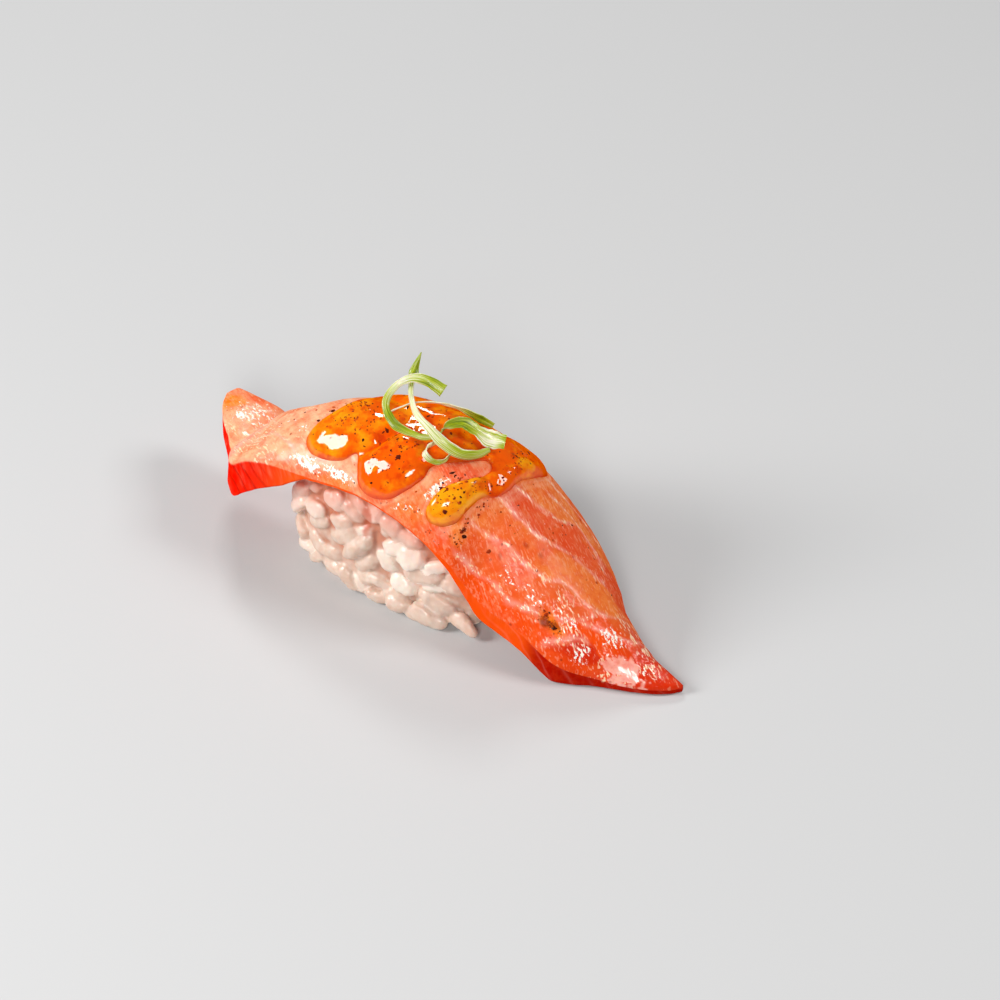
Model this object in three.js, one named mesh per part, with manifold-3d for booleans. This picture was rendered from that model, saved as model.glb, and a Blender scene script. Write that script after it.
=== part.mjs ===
// Salmon nigiri: a hand-pressed block of sushi rice, a seared slice of salmon draped over it
// from a blunt head to a pointed tail, a peppered glaze pooled in lobes on the slice, and a
// tangle of spring onion curls on the glaze.
//
// Frame, in millimetres: +X along the slice from head to tail, +Y to the far long side, +Z up.
// The rice is bare on the near long side, at -Y, and stands on Z = 0. The model is built with
// the middle of the rice over the origin, and the finished group is then moved so that the
// origin is under the middle of the whole piece.

import * as THREE from "three";
import { mergeVertices } from "three/addons/utils/BufferGeometryUtils.js";
import Module from "manifold-3d";

const wasm = await Module();
wasm.setup();

// ---------------------------------------------------------------- driving dimensions

const GAP = 0.4; // clearance between pieces that touch

const RICE = {
  halfLength: 21,
  halfWidth: 11.9,
  height: 26, // of the uncut block; the underside of the slice trims its top
  squareness: 2.6, // power of the superellipse that is its outline
  footHeight: 9,
  footInset: [2.3, 0.7], // how far the outline draws in at the foot, along X and along Y
  shoulderHeight: 13,
  shoulderInset: 1.4, // and at its top, along both
  gap: 0.6, // to the underside of the slice
  sides: 32,
  levels: 6,
};

const GRAIN = {
  length: 6.2,
  width: 3.0,
  thickness: 2.6,
  bluntness: 2.8, // 2 is an ellipsoid, and more has fuller ends
  tierHeight: 3.1,
  tierSpread: 1, // how far grains stray up and down from their tier
  spacing: 5.9, // along the wall
  standOut: [-0.4, 0.5], // of a grain's middle from the wall, least and most
  lengthSpread: 0.3, // spreads are shares of the size
  widthSpread: 0.2,
  spacingSpread: 0.4,
  lean: 80, // degrees that a grain turns on the wall from level, either way
  yaw: 14, // degrees that its ends swing in and out, either way
  segments: 6,
  rings: 4,
  seed: 11,
};

const SLICE = {
  head: -39.3,
  headCorner: -30.7, // X of the near corner, where the blunt head end meets the near side
  tailCorner: 30.8, // X of the near corner, where the slanting tail end meets the near side
  tail: 50,
  headRows: 6,
  bodyRows: 30,
  tailRows: 11,
  columns: 14,
  lift: 0.15, // lowest point of the slice above the plate
};

// A shallow valley across the head, where the tab at its end folds up from the body.
const CREASE = {
  from: [-27.4, 6.3], // at the far side
  to: [-32, -6], // at the near side
  width: 1.8,
  depthFrom: 1.3,
  depthTo: 0.1,
};

// Pools of glaze, each an ellipse seen from above with a domed top.
const GLAZE_LOBES = [
  { x: -10, y: -3, length: 16.8, width: 10.4, turn: 30, height: 1.7 },
  { x: 0.5, y: 4.8, length: 22, width: 8.4, turn: -4, height: 1.5 },
  { x: -1.6, y: -6.4, length: 12.4, width: 11.6, turn: 20, height: 1.8 },
  { x: 11.2, y: -7, length: 12.4, width: 5.4, turn: 62, height: 1.6 },
  { x: 14.3, y: 3.3, length: 17.4, width: 6.4, turn: 93, height: 1.9 },
];

const GLAZE = {
  segments: 18,
  rings: [0.45, 0.75, 0.93, 1],
  rim: 0.25, // height of the upright rim of a pool
  depth: 1.5, // of an untrimmed pool below the surface of the slice
};

// Grids on which the slice's faces trim the rice and the glaze.
const RICE_GRID = { reachX: 30, reachY: 20, step: 2 };
const GLAZE_GRID = { reachX: 22, reachY: 16, step: 2 };

// Ribbons of spring onion. Each lies along its points; widths and axes run from start to end,
// and the axis is the direction that a ribbon's width points in.
const CURL = { thickness: 0.5, steps: 24 };
const CURLS = [
  {
    name: "onion_curl_long",
    points: [
      [11.8, 0.6, 28.7], [10.6, -1.2, 28.5], [8.8, -3.2, 29.4], [6, -3.9, 31], [3.1, -3.4, 32.5],
      [0, -2, 33.2], [-2.8, 1.2, 33.6], [-4.2, 4.4, 34.7], [-4.2, 6.9, 37.2],
    ],
    widths: [1.8, 2.2, 1.6, 0.5],
    axes: [[0.1, 0.5, 0.9], [0.5, 0.7, 0.3]],
  },
  {
    name: "onion_curl_loop",
    points: [
      [0.8, -4.5, 31.1], [-0.6, -4.6, 31.3], [-2.5, -4.3, 31.5], [-4.9, -2.7, 32.1],
      [-5.7, -1.1, 33.2], [-5, 1.1, 34.6], [-3.1, 2.5, 35.6], [-0.7, 3.2, 35.4], [1.8, 3.5, 34.3],
    ],
    widths: [1.6, 1.2, 1.6, 2.6],
    axes: [[0, 0.5, 0.9], [0.2, 0.8, 0.5]],
  },
  {
    name: "onion_curl_arch",
    points: [
      [3.7, -1, 29.6], [4.4, 0.4, 30.6], [6.4, 1.7, 31.1], [8.6, 2, 30.3], [10.7, 2.3, 29.3],
      [13.1, 3.2, 28.9],
    ],
    widths: [1.4, 2.4, 2.2, 2.8],
    axes: [[0.3, 0.9, 0.3], [0.2, 0.7, 0.7]],
  },
  {
    name: "onion_curl_strip",
    points: [[-0.8, 3, 31.3], [1.8, 3.8, 31.4], [4.6, 4.5, 31], [7.2, 5.2, 29.8], [9.3, 6, 28.5]],
    widths: [1.2, 1.4, 1.2],
    axes: [[0, 0.9, 0.4], [0, 0.9, 0.4]],
  },
  {
    name: "onion_curl_small",
    points: [
      [4.2, -3.2, 29.5], [4.1, -5.3, 30.4], [4.4, -6.7, 30.3], [5.3, -6.7, 29.4], [6.1, -6.1, 28.9],
      [6.3, -5.2, 28.9],
    ],
    widths: [1.1, 1.3, 1.1],
    axes: [[0.5, 0.3, 0.8], [0, 0.3, 0.9]],
  },
];

// ---------------------------------------------------------------- curves and meshes

const clamp = (value, low, high) => Math.min(Math.max(value, low), high);

// A smooth curve through [x, value] knots that never overshoots them.
function smoothCurve(knots) {
  const secants = knots.slice(1).map(([x, value], i) => (value - knots[i][1]) / (x - knots[i][0]));
  const slopes = knots.map((_, i) => {
    const [before, after] = [secants[Math.max(i - 1, 0)], secants[Math.min(i, secants.length - 1)]];
    return before * after > 0 ? (2 * before * after) / (before + after) : 0;
  });
  return (place) => {
    const x = clamp(place, knots[0][0], knots.at(-1)[0]);
    const i = clamp(knots.findIndex((knot) => knot[0] > x) - 1, 0, knots.length - 2);
    const piece = x < knots.at(-1)[0] ? i : knots.length - 2;
    const [[x0, v0], [x1, v1]] = [knots[piece], knots[piece + 1]];
    const span = x1 - x0;
    const t = (x - x0) / span;
    const [t2, t3] = [t * t, t * t * t];
    return (
      v0 * (2 * t3 - 3 * t2 + 1) +
      v1 * (3 * t2 - 2 * t3) +
      span * (slopes[piece] * (t3 - 2 * t2 + t) + slopes[piece + 1] * (t3 - t2))
    );
  };
}

// A repeatable stream of numbers from 0 to 1.
function randomStream(seed) {
  let state = seed >>> 0;
  return () => {
    state = (Math.imul(state, 1664525) + 1013904223) >>> 0;
    return state / 2 ** 32;
  };
}

function geometryFrom(points, triangles) {
  const geometry = new THREE.BufferGeometry();
  geometry.setAttribute("position", new THREE.Float32BufferAttribute(points.flat(), 3));
  geometry.setIndex(triangles.flat());
  return geometry;
}

// A closed slab between two grids of points, upper[i][j] above lower[i][j], that has i along
// +X and j along +Y.
function slab(upper, lower) {
  const [rows, columns] = [upper.length, upper[0].length];
  const points = [...upper.flat(), ...lower.flat()];
  const triangles = [];
  const up = (i, j) => i * columns + j;
  const down = (i, j) => rows * columns + up(i, j);
  const quad = (a, b, c, d) => triangles.push([a, b, c], [a, c, d]);
  for (let i = 0; i + 1 < rows; i++) {
    for (let j = 0; j + 1 < columns; j++) {
      quad(up(i, j), up(i + 1, j), up(i + 1, j + 1), up(i, j + 1));
      quad(down(i, j), down(i, j + 1), down(i + 1, j + 1), down(i + 1, j));
    }
    const last = columns - 1;
    quad(up(i, 0), down(i, 0), down(i + 1, 0), up(i + 1, 0));
    quad(up(i, last), up(i + 1, last), down(i + 1, last), down(i, last));
  }
  for (let j = 0; j + 1 < columns; j++) {
    const last = rows - 1;
    quad(up(0, j), up(0, j + 1), down(0, j + 1), down(0, j));
    quad(up(last, j), down(last, j), down(last, j + 1), up(last, j + 1));
  }
  return geometryFrom(points, triangles);
}

// A closed solid through rings of points, each ring the same number of points long, seen
// anticlockwise from above with the rings in order from the bottom to the top. The first and
// the last ring are closed with fans.
function stackedRings(rings, bottom, top) {
  const count = rings[0].length;
  const points = [...rings.flat(), bottom, top];
  const triangles = [];
  const [foot, crown] = [points.length - 2, points.length - 1];
  const lastRing = (rings.length - 1) * count;
  for (let n = 0; n < count; n++) {
    const next = (n + 1) % count;
    for (let start = 0; start < lastRing; start += count) {
      const [a, b] = [start + n, start + next];
      triangles.push([a, b, b + count], [a, b + count, a + count]);
    }
    triangles.push([foot, next, n], [crown, lastRing + n, lastRing + next]);
  }
  return geometryFrom(points, triangles);
}

function solidFrom(geometry) {
  const bare = geometry.clone();
  bare.deleteAttribute("normal");
  bare.deleteAttribute("uv");
  const merged = mergeVertices(bare, 1e-4);
  return new wasm.Manifold(
    new wasm.Mesh({
      numProp: 3,
      vertProperties: merged.attributes.position.array,
      triVerts: new Uint32Array(merged.index.array),
    }),
  );
}

function geometryOf(solid) {
  const mesh = solid.getMesh();
  const geometry = new THREE.BufferGeometry();
  geometry.setAttribute("position", new THREE.BufferAttribute(mesh.vertProperties, 3));
  geometry.setIndex(new THREE.BufferAttribute(mesh.triVerts, 1));
  return geometry;
}

// The main body of a solid, with its sealed hollows filled and its loose scraps dropped.
function mainBody(solid) {
  const shells = solid.decompose();
  return shells.reduce((best, shell) => (shell.volume() > best.volume() ? shell : best));
}

// ---------------------------------------------------------------- form of the slice

// Profiles along X. The slice spans from its near to its far outline, with its crest on the
// spine. Heights are those of its upper face at the three of them.
const nearY = smoothCurve([
  [-39.3, 4.4], [-38.6, 2.2], [-32.2, -5.9], [-30.7, -8.6], [-29.6, -9.2], [-18, -10.5], [-4, -12],
  [11, -13.8], [16, -13.3], [30.8, -14], [38.2, -11.6], [44.5, -9.6], [48.6, -7.4], [50, -6],
]);
const nearZ = smoothCurve([
  [-39.3, 15.4], [-30.6, 15.3], [-26.7, 17.9], [-22, 19.5], [-16, 20.2], [-5, 22], [2, 21.5],
  [7, 19.9], [12, 17.4], [15, 13.6], [18, 10.8], [25, 8.4], [30.8, 5], [36, 3], [42, 1.9],
  [50, 1.6],
]);
const nearThickness = smoothCurve([
  [-31, 5], [-29, 7.2], [-24.4, 6], [-20, 4.1], [-15, 1.3], [8, 1.1], [14, 3], [18, 4.4], [31, 4.8],
  [36, 2.9], [50, 1.4],
]);
// How far the near face leans out from its upper to its lower edge.
const nearLean = smoothCurve([[-39.3, 0], [-30.6, 0.6], [-27, 1.2], [-22.5, 0.8], [-15, 0]]);
const spineY = smoothCurve([
  [-39.3, 4.7], [-36, 2], [-31, -1.5], [-22, -1.6], [-8, 0], [12, 0], [22, -1], [30, -3.4],
  [38, -5.4], [50, -5.7],
]);
const spineZ = smoothCurve([
  [-39.3, 15.4], [-32, 16.2], [-29, 17], [-24, 21.6], [-16, 26], [-8, 28], [2, 28.7], [8, 27.7],
  [14, 24.8], [22, 19.5], [30, 13.6], [38, 7.8], [44, 4.2], [50, 1.6],
]);
const farY = smoothCurve([
  [-39.3, 5], [-38.3, 6.9], [-27.4, 6.3], [-22, 7.6], [-16, 10.4], [-6, 13.4], [8, 14], [15, 13.4],
  [21, 12.2], [26, 10], [33, 5], [36, 1.8], [45, -3.8], [50, -5.4],
]);
const farZ = smoothCurve([
  [-39.3, 15.4], [-27.4, 15], [-22, 14.5], [-10, 16], [6, 17.2], [14, 15.8], [21, 11.6], [29, 7.4],
  [36, 4], [45, 2.1], [50, 1.6],
]);
const farThickness = smoothCurve([[-39.3, 4.8], [-27, 4], [-18, 3], [10, 2.6], [30, 3.4], [50, 1.4]]);
const middleThickness = smoothCurve([[-39.3, 5.2], [10, 5.6], [28, 5.2], [40, 4], [50, 1.6]]);
// Power of the arch from the spine to each side: 2 is round, and more has a flatter top.
const NEAR_ARCH = 2.3;
const farArch = smoothCurve([[-22, 2.3], [-8, 2.6], [14, 2.6], [24, 2.3]]);
const EDGE_POWER = 3; // of the change in thickness from the spine to each edge

// The place across the slice, from -1 at the near outline to 1 at the far one.
function acrossAt(x, y) {
  const out = y - spineY(x);
  const reach = out < 0 ? spineY(x) - nearY(x) : farY(x) - spineY(x);
  return clamp(out / reach, -1, 1);
}

function creaseDepth(x, y) {
  const [fromX, fromY] = CREASE.from;
  const along = new THREE.Vector2(CREASE.to[0] - fromX, CREASE.to[1] - fromY);
  const length = along.length();
  along.normalize();
  const place = ((x - fromX) * along.x + (y - fromY) * along.y) / length;
  const aside = (y - fromY) * along.x - (x - fromX) * along.y;
  const depth = THREE.MathUtils.lerp(CREASE.depthFrom, CREASE.depthTo, clamp(place, 0, 1));
  return depth * Math.exp(-((aside / CREASE.width) ** 2));
}

// Height of the slice's upper face over a place on the plate.
function topAt(x, y) {
  const across = acrossAt(x, y);
  const [edge, arch] = across < 0 ? [nearZ(x), NEAR_ARCH] : [farZ(x), farArch(x)];
  const crest = spineZ(x);
  return crest - (crest - edge) * Math.abs(across) ** arch - creaseDepth(x, y);
}

// Height of the slice's lower face. The slice is full in the middle and thins or thickens
// towards its two long edges.
function undersideAt(x, y) {
  const step = 0.2; // either way, to take the slope over
  const slopeX = (topAt(x + step, y) - topAt(x - step, y)) / (2 * step);
  const slopeY = (topAt(x, y + step) - topAt(x, y - step)) / (2 * step);
  const across = acrossAt(x, y);
  const inner = 1 - Math.abs(across) ** EDGE_POWER;
  const edge = across < 0 ? nearThickness(x) : farThickness(x);
  const thickness = edge + (middleThickness(x) - edge) * inner;
  const tilt = Math.hypot(1, slopeX, slopeY);
  return topAt(x, y) - thickness * (1 + (tilt - 1) * inner);
}

// Cross-sections of the slice stand on its corners and are even between them.
function sliceStations() {
  const stretches = [
    [SLICE.head, SLICE.headCorner, SLICE.headRows],
    [SLICE.headCorner, SLICE.tailCorner, SLICE.bodyRows],
    [SLICE.tailCorner, SLICE.tail, SLICE.tailRows],
  ];
  const stations = stretches.flatMap(([from, to, rows]) =>
    Array.from({ length: rows }, (_, n) => from + ((to - from) * n) / rows),
  );
  return [...stations, SLICE.tail];
}

function makeSlice() {
  const [upper, lower] = [[], []];
  for (const x of sliceStations()) {
    upper.push([]);
    lower.push([]);
    for (let j = 0; j <= SLICE.columns; j++) {
      const across = Math.sin(((j / SLICE.columns) * 2 - 1) * (Math.PI / 2));
      const reach = across < 0 ? spineY(x) - nearY(x) : farY(x) - spineY(x);
      const y = spineY(x) + across * reach;
      const lean = across < 0 ? nearLean(x) * Math.abs(across) ** EDGE_POWER : 0;
      upper.at(-1).push([x, y, topAt(x, y)]);
      lower.at(-1).push([x, y - lean, Math.max(undersideAt(x, y), SLICE.lift)]);
    }
  }
  return slab(upper, lower);
}

// A block from the plate up to a height function of x and y, on an even grid of squares.
function blockUnder(heightAt, { reachX, reachY, step }) {
  const [upper, lower] = [[], []];
  for (let x = -reachX; x <= reachX; x += step) {
    upper.push([]);
    lower.push([]);
    for (let y = -reachY; y <= reachY; y += step) {
      upper.at(-1).push([x, y, heightAt(x, y)]);
      lower.at(-1).push([x, y, 0]);
    }
  }
  return solidFrom(slab(upper, lower));
}

// ---------------------------------------------------------------- rice

// A point of the block's wall, pushed out by a distance.
function riceWall(bearing, z, out = 0) {
  const foot = (1 - clamp(z / RICE.footHeight, 0, 1)) ** 2;
  const shoulder = clamp((z - RICE.shoulderHeight) / (RICE.height - RICE.shoulderHeight), 0, 1);
  const [halfLength, halfWidth] = [RICE.halfLength, RICE.halfWidth].map(
    (half, axis) => half - RICE.footInset[axis] * foot - RICE.shoulderInset * shoulder,
  );
  const power = RICE.squareness;
  const reach =
    Math.abs(Math.cos(bearing) / halfLength) ** power +
    Math.abs(Math.sin(bearing) / halfWidth) ** power;
  const radius = reach ** (-1 / power) + out;
  return new THREE.Vector3(radius * Math.cos(bearing), radius * Math.sin(bearing), z);
}

function makeRiceCore() {
  const { sides, levels } = RICE;
  const rings = Array.from({ length: levels + 1 }, (_, level) =>
    Array.from({ length: sides }, (_, side) =>
      riceWall((side / sides) * 2 * Math.PI, (RICE.height * level) / levels).toArray(),
    ),
  );
  return solidFrom(stackedRings(rings, [0, 0, 0], [0, 0, RICE.height]));
}

// One grain with its length along Y, full at both ends.
function makeGrain() {
  const grain = new THREE.SphereGeometry(0.5, GRAIN.segments, GRAIN.rings);
  const place = grain.attributes.position;
  for (let n = 0; n < place.count; n++) {
    const axial = Math.abs(2 * place.getY(n));
    const round = Math.sqrt(Math.max(1 - axial ** 2, 0));
    const blunt = Math.max(1 - axial ** GRAIN.bluntness, 0) ** (1 / GRAIN.bluntness);
    const fuller = round > 0 ? blunt / round : 1;
    place.setX(n, place.getX(n) * fuller);
    place.setZ(n, place.getZ(n) * fuller);
  }
  return grain;
}

// Grains lie flat on the wall in tiers, turned every way.
function makeGrains() {
  const random = randomStream(GRAIN.seed);
  const around = (spread) => spread * (random() - 0.5);
  const degrees = THREE.MathUtils.degToRad;
  const grains = [];
  for (let tier = GRAIN.width / 2; tier < RICE.height; tier += GRAIN.tierHeight) {
    let bearing = 2 * Math.PI * random();
    const end = bearing + 2 * Math.PI;
    while (bearing < end) {
      const out = THREE.MathUtils.lerp(...GRAIN.standOut, random());
      const centre = riceWall(bearing, tier + around(GRAIN.tierSpread), out);
      const step = 0.01; // radians either way, to take the wall's direction over
      const ahead = riceWall(bearing + step, tier).sub(riceWall(bearing - step, tier));
      const pose = new THREE.Matrix4()
        .makeTranslation(centre.x, centre.y, centre.z)
        .multiply(new THREE.Matrix4().makeRotationZ(Math.atan2(-ahead.x, ahead.y)))
        .multiply(new THREE.Matrix4().makeRotationX(degrees(around(2 * GRAIN.lean))))
        .multiply(new THREE.Matrix4().makeRotationZ(degrees(around(2 * GRAIN.yaw))));
      const size = new THREE.Vector3(
        GRAIN.thickness,
        GRAIN.length * (1 + around(GRAIN.lengthSpread)),
        GRAIN.width * (1 + around(GRAIN.widthSpread)),
      );
      grains.push(solidFrom(makeGrain().applyMatrix4(pose.scale(size))));
      const wallPerRadian = ahead.length() / (2 * step);
      bearing += (GRAIN.spacing * (1 + around(GRAIN.spacingSpread))) / wallPerRadian;
    }
  }
  return grains;
}

function makeRice() {
  const heap = wasm.Manifold.union([makeRiceCore(), ...makeGrains()]);
  const room = blockUnder((x, y) => undersideAt(x, y) - RICE.gap, RICE_GRID);
  return geometryOf(mainBody(heap.intersect(room)));
}

// ---------------------------------------------------------------- glaze

// A pool that dips into the slice, for the slice's upper face to trim.
function makePool({ x, y, length, width, turn, height }) {
  const angle = THREE.MathUtils.degToRad(turn);
  const pointAt = (ring, n) => {
    const bearing = (n / GLAZE.segments) * 2 * Math.PI;
    const along = (ring * Math.cos(bearing) * length) / 2;
    const aside = (ring * Math.sin(bearing) * width) / 2;
    return [
      x + along * Math.cos(angle) - aside * Math.sin(angle),
      y + along * Math.sin(angle) + aside * Math.cos(angle),
    ];
  };
  const skin = (px, py, ring) => {
    const dome = height * Math.sqrt(1 - ring ** 2);
    return topAt(px, py) + GAP + Math.max(dome, GLAZE.rim);
  };
  const ringAt = (ring, heightAt) =>
    Array.from({ length: GLAZE.segments }, (_, n) => {
      const [px, py] = pointAt(ring, n);
      return [px, py, heightAt(px, py)];
    });
  const under = ringAt(1, (px, py) => topAt(px, py) - GLAZE.depth);
  const over = [...GLAZE.rings]
    .reverse()
    .map((ring) => ringAt(ring, (px, py) => skin(px, py, ring)));
  const [foot, crown] = [topAt(x, y) - GLAZE.depth, skin(x, y, 0)];
  return solidFrom(stackedRings([under, ...over], [x, y, foot], [x, y, crown]));
}

function makeGlaze() {
  const pools = wasm.Manifold.union(GLAZE_LOBES.map(makePool));
  const bed = blockUnder((x, y) => topAt(x, y) + GAP, GLAZE_GRID);
  return geometryOf(mainBody(pools.subtract(bed)));
}

// ---------------------------------------------------------------- spring onion

// The value at a place from 0 to 1 along an evenly spaced list.
function alongList(list, place) {
  const scaled = clamp(place, 0, 1) * (list.length - 1);
  const i = Math.min(Math.floor(scaled), list.length - 2);
  return THREE.MathUtils.lerp(list[i], list[i + 1], scaled - i);
}

function makeCurl({ points, widths, axes }) {
  const route = new THREE.CatmullRomCurve3(points.map((point) => new THREE.Vector3(...point)));
  const [firstAxis, lastAxis] = axes.map((axis) => new THREE.Vector3(...axis));
  const sections = [];
  for (let n = 0; n <= CURL.steps; n++) {
    const place = n / CURL.steps;
    const ahead = route.getTangentAt(place);
    const side = firstAxis.clone().lerp(lastAxis, place);
    side.addScaledVector(ahead, -side.dot(ahead)).normalize();
    const face = new THREE.Vector3().crossVectors(ahead, side);
    const centre = route.getPointAt(place);
    const corners = [[-1, -1], [1, -1], [1, 1], [-1, 1]].map(([across, through]) =>
      centre
        .clone()
        .addScaledVector(side, (across * alongList(widths, place)) / 2)
        .addScaledVector(face, (through * CURL.thickness) / 2)
        .toArray(),
    );
    sections.push(corners);
  }
  const triangles = [];
  const quad = (a, b, c, d) => triangles.push([a, b, c], [a, c, d]);
  for (let n = 0; n < CURL.steps; n++) {
    for (let corner = 0; corner < 4; corner++) {
      const [a, b] = [4 * n + corner, 4 * n + ((corner + 1) % 4)];
      quad(a, b, b + 4, a + 4);
    }
  }
  const last = 4 * CURL.steps;
  quad(0, 3, 2, 1);
  quad(last, last + 1, last + 2, last + 3);
  return geometryFrom(sections.flat(), triangles);
}

// ---------------------------------------------------------------- assembly

function paint(red, green, blue, roughness) {
  return new THREE.MeshStandardMaterial({
    color: new THREE.Color(red, green, blue),
    roughness,
    metalness: 0,
  });
}

const nigiri = new THREE.Group();

function place(name, geometry, material) {
  const mesh = new THREE.Mesh(geometry, material);
  mesh.name = name;
  nigiri.add(mesh);
}

place("rice", makeRice(), paint(0.88, 0.84, 0.78, 0.4));
place("salmon", makeSlice(), paint(0.86, 0.3, 0.14, 0.3));
place("glaze", makeGlaze(), paint(0.85, 0.38, 0.05, 0.1));
for (const curl of CURLS) place(curl.name, makeCurl(curl), paint(0.42, 0.6, 0.18, 0.4));

nigiri.position.x = -(SLICE.head + SLICE.tail) / 2;

export default nigiri;
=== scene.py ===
import itertools
import math
import random

import bpy
import numpy as np
from mathutils import Matrix, Vector
from mathutils.kdtree import KDTree


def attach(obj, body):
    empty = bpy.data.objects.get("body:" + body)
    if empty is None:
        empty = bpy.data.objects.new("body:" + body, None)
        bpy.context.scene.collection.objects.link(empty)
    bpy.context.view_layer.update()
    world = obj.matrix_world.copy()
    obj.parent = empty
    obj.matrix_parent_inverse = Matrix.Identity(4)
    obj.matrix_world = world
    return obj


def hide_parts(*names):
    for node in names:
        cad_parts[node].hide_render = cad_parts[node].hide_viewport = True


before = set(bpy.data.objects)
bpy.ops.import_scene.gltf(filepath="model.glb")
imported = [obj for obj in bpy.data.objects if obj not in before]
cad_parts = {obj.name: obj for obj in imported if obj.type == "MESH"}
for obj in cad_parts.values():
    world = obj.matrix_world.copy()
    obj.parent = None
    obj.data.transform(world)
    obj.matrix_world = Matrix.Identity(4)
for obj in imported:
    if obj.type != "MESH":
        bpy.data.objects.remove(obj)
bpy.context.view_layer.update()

# Shapes are worked out in millimetres in the frame that the slice is drawn in, with the middle of
# the rice over the origin. The frame of the whole piece is SHIFT away from it along X.
MM = 0.001  # metres in a millimetre
TINY = 1e-9  # keeps a divisor away from 0
HEAD, TAIL = -39.3, 50.0  # ends of the slice along X
SHIFT = np.array([-(HEAD + TAIL) / 2, 0.0, 0.0])

# ---------------------------------------------------------------- curves, noise and meshes


def smooth_curve(knots):
    """A smooth curve through (x, value) knots that never overshoots them, for arrays of x."""
    places, values = np.array(knots, float).T
    secants = np.diff(values) / np.diff(places)
    before, after = np.r_[secants[0], secants], np.r_[secants, secants[-1]]
    same_way = before * after > 0
    slopes = np.where(same_way, 2 * before * after / np.where(same_way, before + after, 1), 0)

    def curve(x):
        x = np.clip(x, places[0], places[-1])
        i = np.clip(np.searchsorted(places, x, side="right") - 1, 0, len(places) - 2)
        span = places[i + 1] - places[i]
        t = (x - places[i]) / span
        return (
            values[i] * (2 * t**3 - 3 * t**2 + 1)
            + values[i + 1] * (3 * t**2 - 2 * t**3)
            + span * (slopes[i] * (t**3 - 2 * t**2 + t) + slopes[i + 1] * (t**3 - t**2))
        )

    return curve


HASH_AXES = np.array([73856093, 19349663, 83492791])
HASH_SEED, HASH_MIX = 2654435761, 1274126177


def lattice(cells, seed):
    """A random value from -1 to 1 for every cell of a grid."""
    mixed = cells @ HASH_AXES + seed * HASH_SEED
    mixed = ((mixed ^ (mixed >> 13)) * HASH_MIX) & 0xFFFFFFFF
    return ((mixed ^ (mixed >> 16)) & 0xFFFF) / 32767.5 - 1


def ripple(points, size, seed=0):
    """Smooth random values from -1 to 1 in space, in bumps of a size in millimetres."""
    cell = np.asarray(points, float) / size
    base = np.floor(cell).astype(np.int64)
    part = cell - base
    part = part * part * (3 - 2 * part)
    total = 0
    for corner in itertools.product((0, 1), repeat=3):
        weight = np.prod(np.where(corner, part, 1 - part), axis=-1)
        total = total + weight * lattice(base + np.array(corner), seed)
    return total


def ramp(value, low, high):
    """0 below low and 1 above high, or the other way round, with a smooth step between."""
    t = np.clip((value - low) / (high - low), 0, 1)
    return t * t * (3 - 2 * t)


def hump(distance, width):
    """1 at no distance, fading smoothly to nothing at about twice the width."""
    return np.exp(-((distance / width) ** 2))


def ellipse_radius(x, y, mid_x, mid_y, reach_x, reach_y, turn=0):
    """0 in the middle of an ellipse and 1 on its rim, for one turned by an angle in degrees."""
    x, y = x - mid_x, y - mid_y
    cos, sin = math.cos(math.radians(turn)), math.sin(math.radians(turn))
    return np.hypot((x * cos + y * sin) / reach_x, (y * cos - x * sin) / reach_y)


def unit(vectors):
    """Vectors of length 1 with the same directions."""
    return vectors / np.linalg.norm(vectors, axis=-1, keepdims=True)


def curve_between(before, first, second, after, share):
    """Places on a smooth curve through four points, on its stretch from first to second."""
    return 0.5 * (
        2 * first + (second - before) * share
        + (2 * before - 5 * first + 4 * second - after) * share**2
        + (3 * first - before - 3 * second + after) * share**3
    )


def nearest_on(spots, first, second):
    """The place on the straight line from first to second that is nearest to each spot."""
    way = second - first
    share = np.clip((spots - first) @ way / (way @ way), 0, 1)
    return first + share[..., None] * way


def mix(first, second, share):
    """Blends two arrays of values or colours."""
    share = np.asarray(share, float)
    if np.ndim(first) > share.ndim or np.ndim(second) > share.ndim:
        share = share[..., None]
    return first + (np.asarray(second) - first) * share


def colour(red, green, blue):
    """An sRGB colour from 0 to 255 as the linear values that the shaders work with."""
    parts = np.array([red, green, blue]) / 255
    return np.where(parts <= 0.04045, parts / 12.92, ((parts + 0.055) / 1.055) ** 2.4)


def add_object(name, data):
    """A new object in the scene."""
    thing = bpy.data.objects.new(name, data)
    bpy.context.scene.collection.objects.link(thing)
    return thing


def add_attributes(mesh, attributes):
    """Gives every point of a mesh its values or colours."""
    for key, values in attributes.items():
        values = np.asarray(values, float)
        if values.ndim == 1:
            mesh.attributes.new(key, "FLOAT", "POINT").data.foreach_set("value", values)
        else:
            rows = np.c_[values, np.ones(len(values))].ravel()
            mesh.attributes.new(key, "FLOAT_COLOR", "POINT").data.foreach_set("color", rows)


def make_piece(name, points, faces, attributes=None):
    """A smooth mesh object from points in millimetres, with values or colours at its points."""
    mesh = bpy.data.meshes.new(name)
    mesh.from_pydata(((np.asarray(points) + SHIFT) * MM).tolist(), [], faces)
    mesh.shade_smooth()
    add_attributes(mesh, attributes or {})
    return add_object(name, mesh)


def tube_faces(rings, count, clockwise=False):
    """Faces round rings of points, each count long, with a fan at both ends.

    The two fan centres follow the last ring. Faces look outward where the points of a ring run
    anticlockwise seen from the side of the last ring, and clockwise is for those that don't.
    """
    faces = []
    for ring, n in itertools.product(range(rings - 1), range(count)):
        a, b = ring * count + n, ring * count + (n + 1) % count
        faces.append((a, b, b + count, a + count))
    last = (rings - 1) * count
    for n in range(count):
        following = (n + 1) % count
        faces.append((rings * count, following, n))
        faces.append((rings * count + 1, last + n, last + following))
    return [face[::-1] for face in faces] if clockwise else faces


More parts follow.
